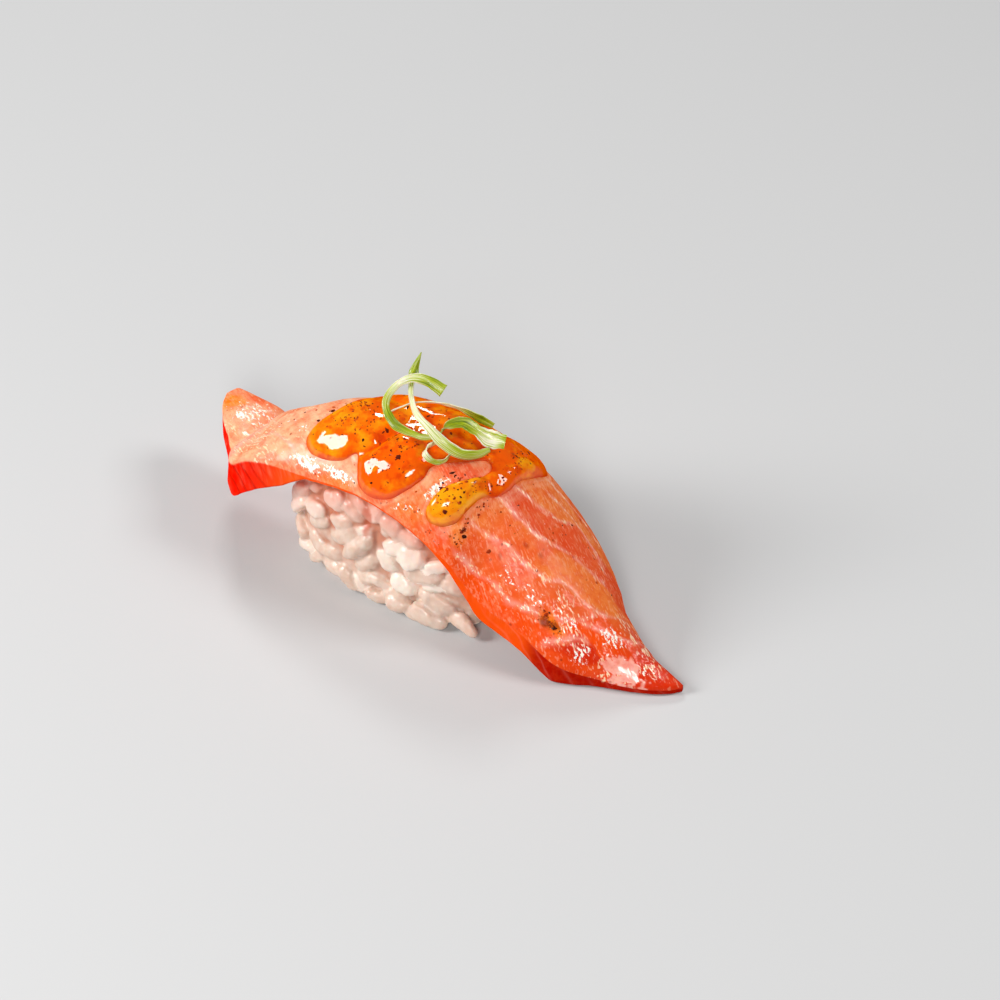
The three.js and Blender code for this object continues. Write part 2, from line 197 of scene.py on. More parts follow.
def dress(piece, material, slot, *nodes):
    """Gives a piece its material and its body, and hides the nodes that it stands for; slot is not used.
    """
    piece.data.materials.append(material)
    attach(piece, "root")
    if nodes:
        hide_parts(*nodes)


# ---------------------------------------------------------------- form of the slice

# Profiles along X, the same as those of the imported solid.
near_y = smooth_curve([
    (-39.3, 4.4), (-38.6, 2.2), (-32.2, -5.9), (-30.7, -8.6), (-29.6, -9.2), (-18, -10.5),
    (-4, -12), (11, -13.8), (16, -13.3), (30.8, -14), (38.2, -11.6), (44.5, -9.6), (48.6, -7.4),
    (50, -6),
])
near_z = smooth_curve([
    (-39.3, 15.4), (-30.6, 15.3), (-26.7, 17.9), (-22, 19.5), (-16, 20.2), (-5, 22), (2, 21.5),
    (7, 19.9), (12, 17.4), (15, 13.6), (18, 10.8), (25, 8.4), (30.8, 5), (36, 3), (42, 1.9),
    (50, 1.6),
])
near_thickness = smooth_curve([
    (-31, 5), (-29, 7.2), (-24.4, 6), (-20, 4.1), (-15, 1.3), (8, 1.1), (14, 3), (18, 4.4),
    (31, 4.8), (36, 2.9), (50, 1.4),
])
near_lean = smooth_curve([(-39.3, 0), (-30.6, 0.6), (-27, 1.2), (-22.5, 0.8), (-15, 0)])
spine_y = smooth_curve([
    (-39.3, 4.7), (-36, 2), (-31, -1.5), (-22, -1.6), (-8, 0), (12, 0), (22, -1), (30, -3.4),
    (38, -5.4), (50, -5.7),
])
spine_z = smooth_curve([
    (-39.3, 15.4), (-32, 16.2), (-29, 17), (-24, 21.6), (-16, 26), (-8, 28), (2, 28.7),
    (8, 27.7), (14, 24.8), (22, 19.5), (30, 13.6), (38, 7.8), (44, 4.2), (50, 1.6),
])
far_y = smooth_curve([
    (-39.3, 5), (-38.3, 6.9), (-27.4, 6.3), (-22, 7.6), (-16, 10.4), (-6, 13.4), (8, 14),
    (15, 13.4), (21, 12.2), (26, 10), (33, 5), (36, 1.8), (45, -3.8), (50, -5.4),
])
far_z = smooth_curve([
    (-39.3, 15.4), (-27.4, 15), (-22, 14.5), (-10, 16), (6, 17.2), (14, 15.8), (21, 11.6),
    (29, 7.4), (36, 4), (45, 2.1), (50, 1.6),
])
far_thickness = smooth_curve([(-39.3, 4.8), (-27, 4), (-18, 3), (10, 2.6), (30, 3.4), (50, 1.4)])
middle_thickness = smooth_curve([(-39.3, 5.2), (10, 5.6), (28, 5.2), (40, 4), (50, 1.6)])
NEAR_ARCH = 2.3
far_arch = smooth_curve([(-22, 2.3), (-8, 2.6), (14, 2.6), (24, 2.3)])
EDGE_POWER = 3  # of the change in thickness from the spine to each edge
SLOPE_STEP = 0.2  # to both sides, where the upper face's slope is measured
LIFT = 0.15  # lowest point of the slice above the floor

# The crease where the slice's end is folded down: a line seen from above, and its depth at both ends.
CREASE_FROM, CREASE_TO = np.array([-27.4, 6.3]), np.array([-32.0, -6.0])
CREASE_WAY = CREASE_TO - CREASE_FROM
CREASE_WIDTH, CREASE_DEPTHS = 1.8, (1.3, 0.1)


def reach_at(x, side):
    """How far the outline is from the spine, on the near side where side is below 0."""
    return np.where(side < 0, spine_y(x) - near_y(x), far_y(x) - spine_y(x))


def across_at(x, y):
    """The place across the slice, from -1 at the near outline to 1 at the far one."""
    out = y - spine_y(x)
    return np.clip(out / reach_at(x, out), -1, 1)


def slice_y(x, across):
    """Y of a place across the slice."""
    return spine_y(x) + across * reach_at(x, across)


def crease_aside(x, y):
    """Distance from the crease, above 0 on the side of the slice's middle."""
    along = CREASE_WAY / np.hypot(*CREASE_WAY)
    return (y - CREASE_FROM[1]) * along[0] - (x - CREASE_FROM[0]) * along[1]


def crease_depth(x, y):
    """How far the crease takes the upper face down."""
    way = CREASE_WAY
    place = ((x - CREASE_FROM[0]) * way[0] + (y - CREASE_FROM[1]) * way[1]) / (way @ way)
    return mix(*CREASE_DEPTHS, np.clip(place, 0, 1)) * hump(crease_aside(x, y), CREASE_WIDTH)


def top_at(x, y):
    """Height of the slice's upper face."""
    across = across_at(x, y)
    edge = np.where(across < 0, near_z(x), far_z(x))
    arch = np.where(across < 0, NEAR_ARCH, far_arch(x))
    crest = spine_z(x)
    return crest - (crest - edge) * np.abs(across) ** arch - crease_depth(x, y)


def underside_at(x, y):
    """Height of the slice's lower face."""
    slope_x = (top_at(x + SLOPE_STEP, y) - top_at(x - SLOPE_STEP, y)) / (2 * SLOPE_STEP)
    slope_y = (top_at(x, y + SLOPE_STEP) - top_at(x, y - SLOPE_STEP)) / (2 * SLOPE_STEP)
    across = across_at(x, y)
    inner = 1 - np.abs(across) ** EDGE_POWER
    edge = np.where(across < 0, near_thickness(x), far_thickness(x))
    thickness = edge + (middle_thickness(x) - edge) * inner
    tilt = np.sqrt(1 + slope_x**2 + slope_y**2)
    return top_at(x, y) - thickness * (1 + (tilt - 1) * inner)


# ---------------------------------------------------------------- node materials


MIX_FIRST, MIX_SECOND, MIX_RESULT = 6, 7, 2  # sockets of a Mix node's colours


class Nodes:
    """A short way to write a material's nodes."""

    def __init__(self, name):
        self.material = bpy.data.materials.new(name)
        self.material.use_nodes = True
        self.tree = self.material.node_tree
        self.shader = self.tree.nodes["Principled BSDF"]

    def add(self, kind, inputs=None, **settings):
        """A new node with values or links for its inputs."""
        node = self.tree.nodes.new(kind)
        for key, value in settings.items():
            setattr(node, key, value)
        for key, value in (inputs or {}).items():
            self.feed(node.inputs[key], value)
        return node

    def feed(self, socket, value):
        """Links an output to a socket, or sets the socket's value."""
        if isinstance(value, bpy.types.NodeSocket):
            self.tree.links.new(value, socket)
        else:
            socket.default_value = value

    def set(self, **values):
        """Feeds the shader's sockets, named with _ for spaces."""
        for key, value in values.items():
            self.feed(self.shader.inputs[key.replace("_", " ")], value)

    def value(self, name):
        """The values that a mesh has at its points."""
        return self.add("ShaderNodeAttribute", attribute_name=name).outputs["Fac"]

    def colour(self, name):
        """The colours that a mesh has at its points."""
        return self.add("ShaderNodeAttribute", attribute_name=name).outputs["Color"]

    def place(self):
        """Object coordinates, in metres."""
        return self.add("ShaderNodeTexCoord").outputs["Object"]

    def stretched(self, size, turn=0.0):
        """Object coordinates in bumps of a size in millimetres, or three sizes, turned about Z."""
        sizes = size if isinstance(size, tuple) else (size,) * 3
        turned = self.add(
            "ShaderNodeMapping",
            {"Vector": self.place(), "Rotation": (0, 0, math.radians(turn))},
        ).outputs[0]
        scale = tuple(1 / (MM * part) for part in sizes)
        return self.add("ShaderNodeMapping", {"Vector": turned, "Scale": scale}).outputs[0]

    def noise(self, size, turn=0.0, detail=2.0, roughness=0.5, distortion=0.0):
        """Smooth noise around 0.5, in bumps as in stretched."""
        inputs = {"Vector": self.stretched(size, turn), "Scale": 1.0, "Detail": detail}
        inputs.update({"Roughness": roughness, "Distortion": distortion})
        return self.add("ShaderNodeTexNoise", inputs).outputs["Fac"]

    def cells(self, size):
        """Distance from the nearest of points scattered about a size in millimetres apart."""
        inputs = {"Vector": self.stretched(size), "Scale": 1.0}
        return self.add("ShaderNodeTexVoronoi", inputs).outputs["Distance"]

    def fit(self, value, low, high, to_low=0.0, to_high=1.0):
        """Takes low to to_low and high to to_high, with straight steps between."""
        inputs = {"Value": value, "From Min": low, "From Max": high}
        inputs.update({"To Min": to_low, "To Max": to_high})
        return self.add("ShaderNodeMapRange", inputs).outputs["Result"]

    def math(self, operation, first, second):
        """One step of arithmetic on two values."""
        node = self.add("ShaderNodeMath", operation=operation)
        self.feed(node.inputs[0], first)
        self.feed(node.inputs[1], second)
        return node.outputs[0]

    def times(self, first, second):
        return self.math("MULTIPLY", first, second)

    def plus(self, first, second):
        return self.math("ADD", first, second)

    def mix(self, share, first, second):
        """Blends two colours."""
        node = self.add("ShaderNodeMix", data_type="RGBA")
        self.feed(node.inputs["Factor"], share)
        for key, value in ((MIX_FIRST, first), (MIX_SECOND, second)):
            value = value if isinstance(value, bpy.types.NodeSocket) else (*value, 1.0)
            self.feed(node.inputs[key], value)
        return node.outputs[MIX_RESULT]

    def bump(self, height, distance, normal=None):
        """Relief of a height field from 0 to 1, distance millimetres deep."""
        node = self.add("ShaderNodeBump", {"Height": height, "Distance": distance * MM})
        if normal is not None:
            self.feed(node.inputs["Normal"], normal)
        return node.outputs["Normal"]

    def grazing(self):
        """0 where the surface is seen straight on and 1 where it is seen along itself."""
        return self.add("ShaderNodeLayerWeight", {"Blend": 0.5}).outputs["Facing"]


# ---------------------------------------------------------------- salmon

SLICE_ROWS = 340
TOP_COLUMNS = 130
UNDER_COLUMNS = 36
WALL_COLUMNS = 16
EDGE_RADIUS, EDGE_SHARE = 0.5, 0.45  # of the rounded edges, at most this share of the wall

# Sheets of pale tissue between the muscles show as lines on the upper face: Y against X.
LOWEST_SEPTUM = [
    (12.5, -12.4), (18.2, -11.7), (23.8, -12.1), (30, -10.4), (33.4, -8.4), (35.3, -5.9),
]
LOW_SEPTUM = [
    (13, -8.6), (16.3, -8.4), (20, -7.3), (22.5, -7.6), (26.5, -7.5), (29.2, -6.5), (33.4, -6),
    (36, -5.1), (38, -2.4),
]
HIGH_SEPTUM = [(15, -3), (22, -3.7), (25.4, -2.4), (29.2, -1.2), (33.5, -0.4)]
HIGHEST_SEPTUM = [(15.4, 0.1), (20.5, 1.1), (23.4, 2.1), (25, 4.7)]
TAIL_FOLD = [(28.4, -13.9), (31.7, -12), (33.4, -10.6), (36, -9.8)]
SEPTA = [
    LOWEST_SEPTUM,
    LOW_SEPTUM,
    HIGH_SEPTUM,
    HIGHEST_SEPTUM,
    [(33.4, -8.4), (36, -7.8), (38.4, -6.9), (42, -4.4)],
    TAIL_FOLD,
    [(14, 8.5), (19, 8.2), (24, 8.6), (28, 8)],
    [(19, 4.6), (24, 5.2), (28, 4.6), (32, 2.2)],
    [(-22, 4.2), (-17, 6.6), (-11, 9.8), (-4, 11.6)],
    [(-27, -4.6), (-22, -6.4), (-17, -9.2)],
    [(-37, 1.6), (-33, 3.4), (-29, 4.4)],
]

PEACH = colour(242, 126, 58)
FLESH = colour(235, 100, 42)
ROSE = colour(233, 90, 48)
PALE = colour(252, 186, 146)
DEEP = colour(228, 66, 24)
RED = colour(208, 34, 8)
BRIGHT_RED = colour(238, 12, 0)
# painted shade, on the tail's near cut side and in the head's folds
SHADE_RED = colour(168, 6, 2)
ORANGE = colour(244, 80, 10)
TISSUE = colour(250, 170, 150)
# pale specks, partly painted highlight and partly crumbs of protein
GLEAM = colour(255, 220, 178)
# painted highlight: the white of the glints on the wet surface
PAINTED_GLINT_WHITE = colour(255, 244, 232)
FILM_HIGHLIGHT_PINK = colour(255, 190, 172)
AMBER_STAIN = colour(250, 132, 16)
BROWN_STAIN = colour(110, 30, 4)
DOT_STAIN = colour(168, 46, 20)

# Stains on the upper face, two pale ones of them painted highlight: middle, reach in X and Y, colour and
# strength.
STAINS = [
    (-37.0, 2.8, 2.1, 2.2, AMBER_STAIN, 1.0),
    (-33.5, 5.6, 2.6, 0.9, ORANGE, 0.6),
    # pale patch on the head's top: painted highlight
    (-33.4, 0.6, 3.4, 2.2, PALE, 0.6),
    (-8.6, -11.2, 4.4, 1.0, AMBER_STAIN, 0.55),
    (4.6, -12.0, 3.0, 1.0, AMBER_STAIN, 0.4),
    (9.6, -4.2, 4.8, 2.8, DEEP, 0.75),
    # pale patch between the pools: painted sheen
    (5.0, -7.6, 1.6, 1.2, PALE, 0.5),
    (10.2, -12.8, 2.8, 1.2, ORANGE, 0.9),
    (12.6, -10.6, 1.1, 1.4, AMBER_STAIN, 0.6),
    (29.8, -11.2, 2.6, 0.8, AMBER_STAIN, 0.9),
    (28.7, -11.6, 0.9, 0.5, BROWN_STAIN, 0.95),
    (30.5, -11.1, 0.9, 0.4, BROWN_STAIN, 0.8),
    (22.0, -5.8, 0.45, 0.4, DOT_STAIN, 0.8),
    (24.5, -5.5, 0.5, 0.4, DOT_STAIN, 0.6),
    (19.2, -9.0, 0.35, 0.3, DOT_STAIN, 0.7),
]

# Painted glints, where the wet surface is broken into pale flecks of painted highlight: middle, reach
# along and across, turn, share.
PAINTED_GLINTS = [
    (-34.0, 0.6, 2.2, 1.3, 0, 1.0),
    (-31.2, -2.7, 1.0, 0.5, 10, 0.9),
    (-31.0, 0.6, 1.6, 1.2, 20, 0.75),
    (-29.4, 3.4, 1.4, 0.6, 10, 0.6),
    (-32.5, 2.0, 5.0, 4.0, 0, 0.7),
    (-24.5, -4.0, 5.0, 1.6, 28, 0.5),
    (-19.0, -5.3, 1.6, 0.8, 20, 0.8),
    (-15.8, -9.6, 4.2, 0.85, -12, 1.1),
    (-9.2, -10.4, 3.8, 0.75, -10, 1.05),
    (-7.2, -12.0, 2.6, 0.4, 0, 0.9),
    (4.0, -11.8, 3.2, 0.5, 8, 0.95),
    (7.2, -8.2, 3.0, 0.8, 62, 1.1),
    (2.9, -9.2, 1.6, 0.3, 50, 0.6),
    (38.2, -7.3, 2.4, 1.6, 20, 0.95),
    (35.0, -11.2, 1.7, 1.2, 40, 0.95),
    (32.6, -9.8, 1.0, 0.7, 20, 0.8),
    (26.4, -10.4, 3.0, 1.2, -10, 0.65),
    (21.4, -10.4, 3.0, 1.1, -10, 0.65),
    (45.5, -7.6, 2.6, 0.9, 15, 0.7),
]

# How far across the slice its red far edge begins, against X.
FAR_EDGE = [(6, 0.97), (16, 0.9), (24, 0.78), (33, 0.66), (38, 0.5), (46, 0.1)]
# A film of sauce lies flat here, and its pale pink is a painted highlight: middle, reach along and
# across, and turn in degrees.
CALM_FILM = (41.9, -9.3, 3.4, 1.5, 12)
BURN_MARK = (29.5, -11.4, 1.9, 0.9)  # middle and reach
SEPTUM_WIDTH, SEPTUM_HALO = 0.24, 0.9
WALL_LINE_GAP, WALL_LINE_WIDTH = 3.1, 0.26  # of the sheets of tissue that cross the cut sides
FOLD_LINE_GAP, FOLD_LINE_WIDTH = 2.3, 0.3  # of the folds on the head's near side


def calm_at(points):
    """1 where the sauce lies flat at the tail and 0 elsewhere, with a ragged edge."""
    radius = ellipse_radius(points[:, 0], points[:, 1], *CALM_FILM)
    ragged = 0.5 * ripple(points, 1.0, 31) + 0.35 * ripple(points, 0.45, 32)
    return ramp(radius + ragged, 1.0, 0.9)


def burnt_at(points):
    """1 on the dark mark near the tail and 0 elsewhere."""
    return np.exp(-(ellipse_radius(points[:, 0], points[:, 1], *BURN_MARK) ** 4))


def painted_glint_at(points):
    """How much of the surface is broken into pale flecks of painted glint."""
    most = np.zeros(len(points))
    for *ellipse, share in PAINTED_GLINTS:
        radius = ellipse_radius(points[:, 0], points[:, 1], *ellipse)
        most = np.maximum(most, share * np.exp(-(radius**3)))
    return most * (1 - calm_at(points)) * (1 - burnt_at(points))


def rim_glisten(x, y):
    """Pale lines beside the pools, a painted glisten at the sauce's edges."""
    level, _ = outline_level(x, y)
    return hump(level + 0.45, 0.2) + 0.6 * hump(level + 1.15, 0.22)


def even_lines(places, gap, width):
    """1 on lines an even gap apart and 0 between them."""
    return hump(np.abs((places / gap) % 1 - 0.5) * gap, width)


def head_folds(points):
    """Narrow folds that run down the head's near side."""
    lean = points[:, 2] + 0.6 * points[:, 0] + 0.8 * ripple(points, 3.0, 83)
    shown = ramp(points[:, 0], -20, -24) * ramp(ripple(points, 4.0, 84), -0.4, 0.2)
    return even_lines(lean, FOLD_LINE_GAP, FOLD_LINE_WIDTH) * shown


def wall_lines(points):
    """Pale lines of tissue that cross the cut sides and the lower face."""
    lean = points[:, 0] + 0.8 * points[:, 2]
    lean = lean + 1.6 * ripple(points, 6.0, 80) + 0.5 * ripple(points, 1.6, 82)
    faded = ramp(ripple(points, 3.0, 81), -0.6, 0.6)
    return even_lines(lean, WALL_LINE_GAP, WALL_LINE_WIDTH) * (0.15 + 0.85 * faded)


def septa_at(points):
    """How much of the surface is a sheet of pale tissue."""
    x, y = points[:, 0], points[:, 1]
    most = np.zeros(len(points))
    for n, knots in enumerate(SEPTA):
        line = smooth_curve(knots)
        slope = (line(x + 0.1) - line(x - 0.1)) / 0.2
        wander = 0.35 * ripple(points, 2.2, n) + 0.15 * ripple(points, 0.8, n + 40)
        aside = np.abs(y - line(x) + wander) / np.sqrt(1 + slope**2)
        width = SEPTUM_WIDTH * (1 + 0.6 * ripple(points, 1.7, n + 20))
        (first, _), (last, _) = knots[0], knots[-1]
        fade = ramp(x, first - 1, first + 1.5) * ramp(x, last + 1, last - 1.5)
        broken = 0.65 + 0.35 * ripple(points, 1.1, n + 60)
        line_share = 0.75 * hump(aside, width) + 0.25 * hump(aside, SEPTUM_HALO)
        most = np.maximum(most, line_share * fade * broken)
    return most


def upper_flesh(points, across):
    """Colours of the slice's upper face."""
    x, y = points[:, 0], points[:, 1]
    patches = ripple(points, 4.5, 3)
    small = ripple(points, 1.8, 9)
    edge_y = y + 0.6 * ripple(points, 2.0, 12) + 0.3 * ripple(points, 0.8, 13)
    tint = np.tile(ORANGE, (len(points), 1))
    for knots, above in (
        (LOWEST_SEPTUM, FLESH), (LOW_SEPTUM, PEACH), (HIGH_SEPTUM, ROSE), (HIGHEST_SEPTUM, PEACH)
    ):
        tint = mix(tint, above, ramp(edge_y - smooth_curve(knots)(x), -0.5, 0.5))
    # painted shade: redder below the tail's fold, where the slice turns down to its near side
    below_fold = smooth_curve(TAIL_FOLD)(x) - edge_y
    tint = mix(tint, RED, 0.9 * ramp(below_fold, -0.3, 0.4) * ramp(x, 28, 31) * ramp(x, 42, 38))
    tint = mix(tint, PEACH, ramp(x, 15, 9) * 0.85)
    tint = mix(tint, PALE, ramp(x + 5 * patches, 13, -14) * 0.8)
    tint = mix(tint, FLESH, 0.5 * ramp(small, 0.0, 0.7))
    tint = mix(tint, DEEP, 0.45 * ramp(patches, 0.0, 0.7) * ramp(x, 0, 20))
    far_limit = np.interp(x, *zip(*FAR_EDGE))
    far = ramp(across + 0.08 * small, far_limit - 0.1, far_limit + 0.14)
    tint = mix(tint, RED, 0.3 * far * ramp(x, 6, 14))
    tint = mix(tint, ORANGE, 0.6 * ramp(-across, 0.84, 0.96) * ramp(x, -27, -20))
    # painted glisten beside the pools
    tint = mix(tint, PALE, 0.5 * rim_glisten(x, y))
    tint = mix(tint, RED, 0.85 * ramp(x, 37, 45))
    tab = ramp(x, -27, -31)
    tint = mix(tint, FLESH, 0.6 * tab * ramp(patches + y / 4, -0.4, 0.8))
    # pale band along the raised edge beside the crease: a painted highlight
    ridge_highlight = hump(crease_aside(x, y) - 1.6, 0.8) * ramp(x, -19, -23)
    tint = mix(tint, TISSUE, 0.9 * ridge_highlight)
    ragged = 0.25 * small + 0.35 * ripple(points, 0.6, 33)
    for *ellipse, stain, share in STAINS:
        radius = np.maximum(ellipse_radius(x, y, *ellipse) + ragged, 0)
        tint = mix(tint, stain, share * np.exp(-(radius**4)))
    # pale pink painted highlight on the flat film of sauce at the tail
    return mix(tint, FILM_HIGHLIGHT_PINK, 0.85 * calm_at(points))


def wall_flesh(points, across):
    """Colours of the slice's cut sides and its lower face."""
    x = points[:, 0]
    tint = mix(np.tile(ORANGE, (len(points), 1)), BRIGHT_RED, ramp(x, -17, -25))
    rosy = 0.4 * ramp(across, -0.98, -0.9) + 0.2 * ramp(x, -30, -22) * ramp(x, -14, -22)
    tint = mix(tint, ROSE, rosy)
    tint = mix(tint, RED, 0.7 * ramp(across, 0.0, 0.5))
    # painted shade: the tail's near cut side darkened where it lies in shadow
    tint = mix(tint, SHADE_RED, 0.95 * ramp(x, 25, 29))
    # painted shade in the folds down the head's near side
    tint = mix(tint, SHADE_RED, 0.7 * head_folds(points))
    lines = wall_lines(points) * (ramp(x, -18, -10) + ramp(across, -0.9, -0.5))
    return mix(tint, TISSUE, np.clip(lines, 0, 1) * (0.12 + 0.4 * ramp(across, -0.99, -0.9)))


def flesh_at(points, across, level):
    """Colours of the slice. level is 1 on its upper face, 0 on its lower one."""
    return mix(upper_flesh(points, across), wall_flesh(points, across), ramp(level, 0.999, 0.97))


def grain_at(points, septa, level):
    """How crumbly the wet surface is: most along the sheets of tissue and at both ends."""
    x, y = points[:, 0], points[:, 1]
    patches = ramp(ripple(points, 3.0, 15), -0.2, 0.4)
    head = ramp(x, -15, -22)
    tail = ramp(x, 36, 40)
    middle = ramp(np.abs(x - 28), 8, 4) * ramp(np.abs(y + 9.6), 3.0, 1.4)
    most = np.maximum(np.maximum(head, tail), middle) * patches
    grain = 0.25 + 0.75 * np.clip(most + septa, 0, 1)
    side_share = 0.35 * ramp(x, 0, 8)
    tip = 1 - 0.7 * ramp(x, 44, 48)
    bare = (1 - calm_at(points)) * (1 - burnt_at(points))
    return grain * mix(side_share, 1, ramp(level, 0.9, 1)) * tip * bare


def beside_pools(points):
    """1 on the strip between the near pools and the near edge, where sauce has run."""
    x, y = points[:, 0], points[:, 1]
    return ramp(y, -6, -7.5) * ramp(x, -24, -19) * ramp(x, 9, 5)


def wet_at(points, grain):
    """How much sauce lies on the slice: most where it is crumbly and beside the near pools."""
    ran = 0.4 * beside_pools(points) * ramp(ripple(points, 1.5, 17), -0.2, 0.1)
    wet = np.clip(0.05 + ramp(grain, 0.2, 0.8) + ran + calm_at(points), 0, 1)
    return wet * (1 - burnt_at(points))


def outline_edges(x, across):
    """Height of both faces at an outline, and the radius of the rounded edges there."""
    y = slice_y(x, across)
    upper, lower = top_at(x, y), np.maximum(underside_at(x, y), LIFT)
    return upper, lower, np.minimum(EDGE_RADIUS, EDGE_SHARE * (upper - lower))


def rounding(x, y, radius):
    """How far a rounded edge takes the surface in."""
    from_edge = np.minimum(np.minimum(y - near_y(x), far_y(x) - y), radius)
    return radius - np.sqrt(np.maximum(radius**2 - (radius - from_edge) ** 2, 0))


def wall_z(edges, drop):
    """Heights on a cut side, where drop is 0 at its top and 1 at its foot."""
    upper, lower, radius = edges
    return mix(upper - radius, lower + radius, drop)


def salmon_points():
    """Rings of points round the slice, from the near upper edge over the top and back below.

    Each point comes with its place across and its level, 1 on the upper face and 0 on the lower.
    """
    x = np.linspace(HEAD, TAIL, SLICE_ROWS + 1)[:, None]
    top_across = np.sin(np.linspace(-1, 1, TOP_COLUMNS + 1) * math.pi / 2)[None]
    chosen = np.linspace(0, TOP_COLUMNS, UNDER_COLUMNS + 1).astype(int)
    under_across = top_across[:, ::-1][:, chosen]
    near, far = outline_edges(x, -1.0), outline_edges(x, 1.0)
    top_y, under_y = slice_y(x, top_across), slice_y(x, under_across)
    top = top_at(x, top_y) - rounding(x, top_y, np.where(top_across < 0, near[2], far[2]))
    under_radius = np.where(under_across < 0, near[2], far[2])
    under = np.maximum(underside_at(x, under_y), LIFT) + rounding(x, under_y, under_radius)
    lean = np.where(under_across < 0, near_lean(x) * np.abs(under_across) ** EDGE_POWER, 0)
    down = np.linspace(0, 1, WALL_COLUMNS + 2)[None, 1:-1]
    up = down[:, ::-1]
    bands = [
        (x, top_y, top, top_across, 1.0),
        (x, slice_y(x, 1.0), wall_z(far, down), 1.0, 1 - down),
        (x, under_y - lean, under, under_across, 0.0),
        (x, slice_y(x, -1.0) - near_lean(x) * up, wall_z(near, up), -1.0, 1 - up),
    ]
    columns = zip(*(np.broadcast_arrays(*band) for band in bands))
    x, y, z, across, level = (np.concatenate(parts, 1) for parts in columns)
    return np.stack([x, y, z], -1), across, level


def normals_of(rings):
    """The way out of the surface at every point of rings."""
    along = np.gradient(rings, axis=0)
    around = np.roll(rings, -1, 1) - np.roll(rings, 1, 1)
    normals = np.cross(along, around)
    return normals / np.maximum(np.linalg.norm(normals, axis=-1, keepdims=True), TINY)


def fold_relief(x, y):
    """The slice rises beside the crease, where its end is folded down."""
    aside = crease_aside(x, y)
    return 0.5 * hump(aside - 2.0, 1.1) * ramp(y, -8, -3) - 0.3 * hump(aside, 0.7)


def make_salmon():
    """The slice with the relief of its tissue, crease and folds."""
    rings, across, level = salmon_points()
    flat = rings.reshape(-1, 3)
    across, level = across.ravel(), level.ravel()
    x, y, _ = flat.T
    calm, unburnt, upper = calm_at(flat), 1 - burnt_at(flat), ramp(level, 0.97, 1)
    septa = septa_at(flat) * upper * unburnt
    relief = 0.10 * ripple(flat, 3.5, 1) + 0.05 * ripple(flat, 1.3, 2) + 0.12 * septa
    relief = relief * (1 - 0.85 * calm * level)
    relief = relief + fold_relief(x, y) * ramp(level, 0.9, 1)
    inner_wall = ramp(level, 1, 0.8) * ramp(level, 0, 0.2) * ramp(across, -0.9, -1)
    relief = relief - 0.2 * head_folds(flat) * inner_wall
    relief = relief * ramp(x, HEAD, HEAD + 1.5) * ramp(x, TAIL, TAIL - 1.5)
    points = flat + normals_of(rings).reshape(-1, 3) * relief[:, None]
    points[:, 2] = np.maximum(points[:, 2], LIFT)
    count = rings.shape[1]
    every = np.vstack([points, points[:count].mean(0), points[-count:].mean(0)])
    grain = grain_at(flat, septa, level)
    # the sheets of tissue carry painted glints too
    painted_glint = np.maximum(painted_glint_at(flat), 0.65 * septa) * upper
    attributes = {
        "flesh": np.vstack([flesh_at(flat, across, level), BRIGHT_RED, RED]),
        "septa": np.r_[septa, 0, 0],
        "grain": np.r_[grain, 0, 0],
        "wet": np.r_[wet_at(flat, grain), 0, 0],
        "level": np.r_[level, 0, 0],
        "uneven": np.r_[0.45 - 0.4 * calm + 0.2 * beside_pools(flat), 0.5, 0.5],
        "fatty": np.r_[(1 - 0.9 * ramp(x, 8, 36)) * unburnt, 1, 0.1],
        "painted_glint": np.r_[painted_glint, 0, 0],
    }
    faces = tube_faces(len(rings), count, clockwise=True)
    return make_piece("salmon_slice", every, faces, attributes)


def salmon_tint(n, upper, shown, fibres, blotches):
    """The painted colours with blotches, fibres, spice, painted highlight specks and painted glints on
    them.
    """
    deep = n.times(n.fit(blotches, 0.42, 0.7, 0.0, 0.5), n.fit(upper, 0, 1, 0.5, 1))
    tint = n.mix(deep, n.colour("flesh"), DEEP)
    light = n.fit(blotches, 0.5, 0.3, 0.0, 0.3)
    tint = n.mix(n.times(light, n.times(upper, n.value("fatty"))), tint, PALE)
    streaks = n.times(n.fit(fibres, 0.45, 0.75, 0.0, 0.35), shown)
    tint = n.mix(n.times(streaks, n.value("fatty")), tint, PALE)
    tint = n.mix(n.fit(n.value("septa"), 0.1, 0.8, 0.0, 0.7), tint, TISSUE)
    spiced = n.times(n.fit(n.noise(3.2, detail=1.0), 0.45, 0.6, 0.0, 0.75), upper)
    tint = n.mix(n.times(n.fit(n.cells(1.7), 0.17, 0.1), spiced), tint, DOT_STAIN)
    # pale specks where the surface is crumbly: partly painted highlight, partly crumbs of protein
    gleam_specks = n.fit(n.noise((1.1, 0.3, 0.8), turn=30, detail=1.0), 0.57, 0.64)
    gleam_specks = n.times(gleam_specks, n.fit(n.value("grain"), 0.15, 0.8, 0.0, 0.9))
    tint = n.mix(gleam_specks, tint, GLEAM)
    # painted glints: crisp pale flecks on the wet surface
    glints = n.noise((0.75, 0.42, 0.7), turn=28, detail=3.0, roughness=0.6, distortion=0.4)
    glints = n.plus(glints, n.fit(n.value("painted_glint"), 0, 1, 0, 0.3))
    return n.mix(n.fit(glints, 0.76, 0.79), tint, PAINTED_GLINT_WHITE)


